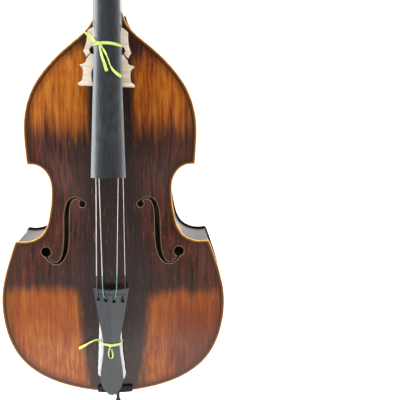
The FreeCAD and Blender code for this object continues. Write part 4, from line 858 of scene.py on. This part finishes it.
def wrapped(centre, along, out, radius_out, radius_side, width, lean):
    """A turn of ribbon pulled tight round the band, one layer of a knot."""
    side = along.cross(out).normalized()
    axis = Matrix.Rotation(lean, 3, out) @ along
    side = Matrix.Rotation(lean, 3, out) @ side
    angles = np.linspace(0, 2 * math.pi, 28, endpoint=False)
    line = [centre + out * radius_out * math.cos(a) + side * radius_side * math.sin(a)
            + axis * 0.0012 * math.sin(2 * a) for a in angles]
    return ribbon_mesh(line, lambda place: place - centre, lambda share: width,
                       lambda share: 0.0, closed=True)


cloth = ribbon_cloth()
BOARD_LEAN = Matrix.Rotation(-BOARD_SLOPE, 3, "X")
BOARD_OUT = BOARD_LEAN @ Vector((0, -1, 0))
TAIL_OUT = (TAIL.to_3x3() @ Vector((0, -1, 0))).normalized()


def bridge_band():
    """The ribbon round the fingerboard and the bridge."""
    z = BASE + 1.006
    half = NUT_HALF + BOARD_GROWTH * (NUT_Z - z) / BOARD_LENGTH + 0.0013
    section = [(-half, 0.0190), (-0.012, 0.0192), (0.012, 0.0192), (half, 0.0190), (half, 0.0186),
               (half, 0.006), (half, -0.0092), (half, -0.0096)]
    section += [(x, -board_top(x, z) - 0.0015) for x in (0.028, 0.014, 0, -0.014, -0.028)]
    section += [(-half, -0.0096), (-half, -0.0092), (-half, 0.006), (-half, 0.0186)]
    seat = Vector((0, board_plane(z), z))
    route = [seat + BOARD_LEAN @ Vector((x, y, -0.55 * y - 0.05 * x)) for x, y in section]
    line = smooth_line(route, closed=True)
    return ribbon_mesh(line, lambda place: place - seat - Vector((0, 0, place.z - seat.z)),
                       lambda share: BRIDGE_WIDTH, lambda share: 0.06 * math.sin(12 * share),
                       closed=True)


def tail_band():
    """The ribbon round the tailpiece and the foam, pulled down to its knot."""
    section = [(-0.039, 0.0147), (-0.010, 0.0150), (0.030, 0.0147), (0.0312, 0.0143),
               (0.0312, 0.006), (0.0305, -0.001), (0.025, -0.0138), (0.012, -0.0152), (0, -0.0172),
               (-0.012, -0.0152), (-0.025, -0.0138), (-0.0385, -0.001), (-0.0395, 0.006),
               (-0.0395, 0.0143)]
    centre = TAIL @ Vector((0, 0, 0.163))
    route = [TAIL @ Vector((x, y, 0.165 - (0.0055 * (1 - abs(x) / 0.04) if y < -0.01 else 0)))
             for x, y in section]
    line = smooth_line(route, closed=True)
    up = TAIL.to_3x3() @ Vector((0, 0, 1))
    return ribbon_mesh(line, lambda place: (place - centre) - up * (place - centre).dot(up),
                       lambda share: TAIL_WIDTH, lambda share: 0.08 * math.sin(14 * share),
                       closed=True)


def knot(place, out, lower, upper):
    """Two crossed turns. Each is its reach across the band, its width and its lean."""
    along = Vector((1, 0, 0))
    return [wrapped(place, along, out, LOWER_TURN, *lower),
            wrapped(place + out * TURN_GAP, along, out, UPPER_TURN, *upper)]


bridge_knot = knot(on_board(-0.0232, 1.018, 0.0034), BOARD_OUT,
                   (0.0054, 0.0062, 0.35), (0.0048, 0.0052, -0.75))
tail_knot = knot(on_tail(-0.0029, 0.0036, 0.1605), TAIL_OUT,
                 (0.0050, 0.0058, 0.15), (0.0044, 0.0050, -0.8))
for name, node, parts in (("bridge_ribbon", "bridge_tie", [bridge_band()] + bridge_knot),
                          ("tail_ribbon", "tail_tie", [tail_band()] + tail_knot)):
    piece = joined(name, parts, cloth)
    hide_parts(node)
    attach(piece, "bass")

# Each loose end: node, route, way it faces, width and twist along it, length, width, far end.
ENDS = [
    ("bridge_tie_end_a", [on_board(-0.0205, 1.012, 0.0055), on_board(-0.016, 0.990, 0.0056),
                          on_board(-0.0075, 0.966, 0.0052), on_board(-0.0005, 0.944, 0.0050)],
     BOARD_OUT, varied((0, 0.0048), (0.35, 0.0070), (1, 0.0088)),
     varied((0, 0.5), (0.5, 0.1), (1, -0.15)), 0.072, 0.0080, "bare"),
    ("bridge_tie_end_b", [on_board(-0.018, 1.015, 0.0055), on_board(-0.008, 1.000, 0.0070),
                          on_board(0.001, 0.982, 0.0065), on_board(0.009, 0.956, 0.0060),
                          on_board(0.022, 0.940, 0.0060), on_board(0.038, 0.929, 0.0070)],
     BOARD_OUT, varied((0, 0.0050), (0.3, 0.0062), (0.62, 0.0060), (1, 0.0085)),
     varied((0, -0.6), (0.35, 0.9), (0.6, 1.0), (0.8, 0.1), (1, 0.0)), 0.106, 0.0080, "bare"),
    ("bridge_tie_end_c", [on_board(-0.027, 1.021, 0.0055), on_board(-0.036, 1.026, 0.0070),
                          on_board(-0.047, 1.037, 0.0040), on_board(-0.062, 1.049, -0.001)],
     BOARD_OUT, varied((0, 0.0052), (0.4, 0.0098), (0.75, 0.0088), (1, 0.0050)),
     varied((0, 0.5), (0.4, 0.0), (1, 0.35)), 0.047, 0.0078, "bare"),
    ("tail_tie_loop", [on_tail(-0.004, 0.0055, 0.154), on_tail(-0.0095, 0.0055, 0.140),
                       on_tail(-0.007, 0.0065, 0.124), on_tail(0.002, 0.0065, 0.119),
                       on_tail(0.0055, 0.0060, 0.133), on_tail(0.0005, 0.0055, 0.151)],
     TAIL_OUT, varied((0, 0.0040), (0.3, 0.0058), (0.7, 0.0058), (1, 0.0040)),
     varied((0, 0.8), (0.5, 1.1), (1, 0.7)), 0.0707, 0.0060, "object"),
    ("tail_tie_end", [Vector((x, -0.1025 + y, BASE + z)) for x, y, z in (
        (-0.0445, -0.036, 0.177), (-0.057, -0.038, 0.1745), (-0.072, -0.033, 0.165),
        (-0.088, -0.026, 0.153), (-0.103, -0.0205, 0.144))],
     TAIL_OUT, varied((0, 0.0045), (0.5, 0.0052), (1, 0.0092)),
     varied((0, 0.9), (0.5, 0.8), (1, 0.1)), 0.0705, 0.0075, "bare"),
]
for node, route, out, wide, turn, long, across, far_end in ENDS:
    line = smooth_line(route)
    strip = ribbon_mesh(line, lambda place, out=out: out, wide, turn)
    piece = joined("ribbon_" + node, [strip], cloth)
    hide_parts(node)
    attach(piece, "bass")


# ---------------------------------------------------------------- foam pad
# Corners in the tailpiece's own axes, x and height.
FOAM = [(-0.034, 0.256), (-0.038, 0.140), (-0.0415, 0.057), (-0.033, 0.050), (0.035, 0.043),
        (0.040, 0.055), (0.031, 0.132), (0.028, 0.190), (0.024, 0.256)]


def foam_pad():
    """A cut sheet of foam: soft edges and a slightly uneven face."""
    edge = np.array(FOAM)
    centre = edge.mean(axis=0)
    angles = np.arctan2(edge[:, 1] - centre[1], edge[:, 0] - centre[0])
    corners = edge[np.argsort(angles)][::-1]
    loop = []
    for start, end in zip(corners, np.roll(corners, -1, axis=0)):
        cuts = max(2, round(np.linalg.norm(end - start) / 0.006))
        loop += [start + (end - start) * i / cuts for i in range(cuts)]
    loop = np.array(loop)
    for _ in range(2):
        loop = (np.roll(loop, 1, axis=0) + 2 * loop + np.roll(loop, -1, axis=0)) / 4
    steps = [(0.0030, 0.0003), (0.0008, 0.0011), (0.0, 0.0032), (0.0, 0.0108), (0.0008, 0.0129),
             (0.0030, 0.0137)]
    places, faces = [], []
    for inset, depth in steps:
        for x, z in inset_loop(loop, inset):
            wave = 0.0003 * math.sin(260 * z + 90 * x)
            places.append(TAIL @ Vector((x + wave, depth, z)))
    count = len(loop)
    for layer in range(len(steps) - 1):
        for i in range(count):
            a, b = layer * count + i, layer * count + (i + 1) % count
            faces.append((a, b, b + count, a + count))
    faces.append(tuple(range(count)))
    faces.append(tuple(range((len(steps) - 1) * count, len(steps) * count)))
    return places, faces


foam = joined("foam_sheet", [foam_pad()], white_foam(), levels=0)
foam.data.set_sharp_from_angle(angle=math.radians(60))
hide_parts("foam_pad")
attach(foam, "bass")


# ---------------------------------------------------------------- scroll
HEAD = Matrix.Translation((0, -0.0642, NUT_Z)) @ Matrix.Rotation(math.radians(-16), 4, "X")
EYE_Y, EYE_Z = 0.023, 0.241
RIDGE = 0.0045


def volute():
    """The carved ridge that winds in to the eye on each side of the scroll."""
    curve = bpy.data.curves.new("volute", "CURVE")
    curve.dimensions = "3D"
    curve.bevel_depth = RIDGE
    curve.bevel_resolution = 3
    curve.use_fill_caps = True
    angles = np.linspace(-0.9, 4.1 * math.pi, 72)
    shares = [i / (len(angles) - 1) for i in range(len(angles))]
    for side in (-1, 1):
        route = []
        for share, angle in zip(shares, angles):
            radius = 0.0275 * (1 - share) ** 0.85 + 0.0045
            across = side * (0.0150 + 0.0135 * share)
            route.append(HEAD @ Vector((across, EYE_Y + radius * math.cos(angle),
                                        EYE_Z + radius * math.sin(angle))))
        for point, share in zip(add_spline(curve, route).points, shares):
            point.radius = 1.0 - 0.45 * share
    mesh = as_mesh(curve)
    mesh.polygons.foreach_set("use_smooth", [True] * len(mesh.polygons))
    return add_object("scroll_volute", mesh)


scroll = volute()
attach(scroll, "bass")


# ---------------------------------------------------------------- materials of the CAD nodes
def dress(material, *names):
    """Gives the named CAD nodes one material."""
    for name in names:
        slots = NODES[name].data.materials
        slots.clear()
        slots.append(material)


rib_wood = flamed("dark_ribs", (0.085, 0.026, 0.009), (0.040, 0.013, 0.007), (0.011, 0.006, 0.005),
                  panels=False, sides=True)
dress(rib_wood, *(n for n in NODES if "_rib_" in n))
neck_wood = flamed("neck_maple", (0.20, 0.065, 0.018), (0.10, 0.030, 0.010), (0.030, 0.011, 0.006),
                   panels=False)
dress(neck_wood, "neck")
scroll.data.materials.append(neck_wood)
dress(satin_black("board_ebony", (0.018, 0.020, 0.023), rough=0.34, coat=0.9, gleam=0.8),
      "fingerboard", "nut")
dress(satin_black("tail_ebony", (0.012, 0.015, 0.018), rough=0.24, coat=0.35, gleam=0.65),
      "tailpiece", "tailpiece_fret")
dress(satin_black("saddle_ebony", (0.005, 0.005, 0.006), rough=0.26, coat=0.12, gleam=0.15),
      "saddle")
dress(bare_maple(), "bridge")
dress(bare_spruce, "neck_block", "end_block", "corner_blocks",
      "top_linings", "back_linings", "bass_bar", "sound_post", "endpin_plug")
brass = metal("aged_brass", (0.62, 0.43, 0.17), 0.28)
dress(brass, "endpin_collar", "thumb_screw", "machine_screws",
      *(n for n in NODES if n.startswith(("machine_plate", "peg_gear", "tuning_key"))))
MAUVE, TEAL = (0.115, 0.085, 0.095), (0.16, 0.42, 0.34)
for number, thread in (("1", MAUVE), ("2", TEAL), ("3", TEAL), ("4", MAUVE)):
    dress(wound_steel("wound_string_" + number, thread), "string_" + number)
    dress(metal("string_steel_" + number, (0.62, 0.60, 0.58), 0.35), "string_wrap_" + number)
dress(metal("black_steel", (0.05, 0.05, 0.055), 0.35), "endpin_rod", "tail_wire")
dress(metal("dull_bronze", (0.13, 0.10, 0.06), 0.42), "string_balls")
dress(rubber(), "endpin_foot")


# ---------------------------------------------------------------- lights and stage
def area_light(name, place, aim, width, height, power, colour=(1, 1, 1)):
    data = bpy.data.lights.new(name, "AREA")
    data.shape = "RECTANGLE"
    data.size, data.size_y = width, height
    data.energy = power
    data.color = colour
    light = add_object(name, data)
    light.location = place
    light.rotation_euler = (Vector(aim) - Vector(place)).to_track_quat("-Z", "Y").to_euler()
    light.visible_camera = False


area_light("softbox_left", (-2.3, -1.3, 1.5), (0, 0, 0.8), 1.2, 2.6, 64, (0.90, 0.95, 1.0))
area_light("softbox_right", (2.5, -1.6, 1.7), (0, 0, 0.8), 1.2, 2.6, 42, (0.93, 0.96, 1.0))
area_light("softbox_top", (0.0, -1.0, 3.6), (0, 0, 0.8), 2.4, 1.6, 40)
area_light("softbox_rear", (-0.8, 2.4, 3.1), (0, 0, 0.8), 1.6, 1.4, 55)


FRONT_FILL, REAR_FILL = 0.07, 0.92
SEEN_WHITE = 1.05


def make_world():
    """White as the camera sees it; as light, bright behind and dim in front."""
    world = bpy.data.worlds.new("studio")
    bpy.context.scene.world = world
    world.use_nodes = True
    tree = world.node_tree
    nodes, links = tree.nodes, tree.links
    fill = nodes["Background"]
    fill.inputs["Strength"].default_value = 1.0
    seen = nodes.new("ShaderNodeBackground")
    seen.inputs["Color"].default_value = (1, 1, 1, 1)
    seen.inputs["Strength"].default_value = SEEN_WHITE
    place = nodes.new("ShaderNodeTexCoord")
    parts = nodes.new("ShaderNodeSeparateXYZ")
    links.new(place.outputs["Generated"], parts.inputs[0])
    shade = nodes.new("ShaderNodeMapRange")
    shade.interpolation_type = "SMOOTHSTEP"
    links.new(parts.outputs[1], shade.inputs[0])
    for socket, value in zip(shade.inputs[1:5], (-0.9, 0.9, FRONT_FILL, REAR_FILL)):
        socket.default_value = value
    links.new(shade.outputs[0], fill.inputs["Color"])
    path = nodes.new("ShaderNodeLightPath")
    blend = nodes.new("ShaderNodeMixShader")
    links.new(path.outputs["Is Camera Ray"], blend.inputs[0])
    links.new(fill.outputs[0], blend.inputs[1])
    links.new(seen.outputs[0], blend.inputs[2])
    links.new(blend.outputs[0], nodes["World Output"].inputs["Surface"])


make_world()


def make_floor():
    """A pale floor that glows as a light: bright under and behind the instrument and dim in front,
    but for a glowing patch that the tailpiece reflects."""
    mesh = bpy.data.meshes.new("floor")
    reach = 40
    corners = [(-reach, -reach, 0), (reach, -reach, 0), (reach, reach, 0), (-reach, reach, 0)]
    mesh.from_pydata(corners, [], [(0, 1, 2, 3)])
    floor = add_object("floor", mesh)
    s = Shader("pale_floor", Roughness=0.9)
    s.surface.inputs["Emission Color"].default_value = (1, 1, 1, 1)
    x, y, _ = s.parts()
    glow = s.span(y, -0.85, -0.38, 0.03, 0.80)
    # A glowing patch at the right in front, there only for the tailpiece to reflect.
    patch = s.sum("MULTIPLY", s.sum("MULTIPLY", s.span(x, 0.02, 0.10), s.span(x, 0.50, 0.34)),
                  s.sum("MULTIPLY", s.span(y, -1.4, -1.1), s.span(y, -0.42, -0.52)))
    s.feed(s.surface.inputs["Emission Strength"], s.sum("MULTIPLY_ADD", patch, 0.6, glow))
    mist = s.noise(s.stretched((3, 3, 3)), detail=2)
    s.colour(s.mix(mist, (0.88, 0.88, 0.88), (0.92, 0.92, 0.92)))
    mesh.materials.append(s.material)


make_floor()
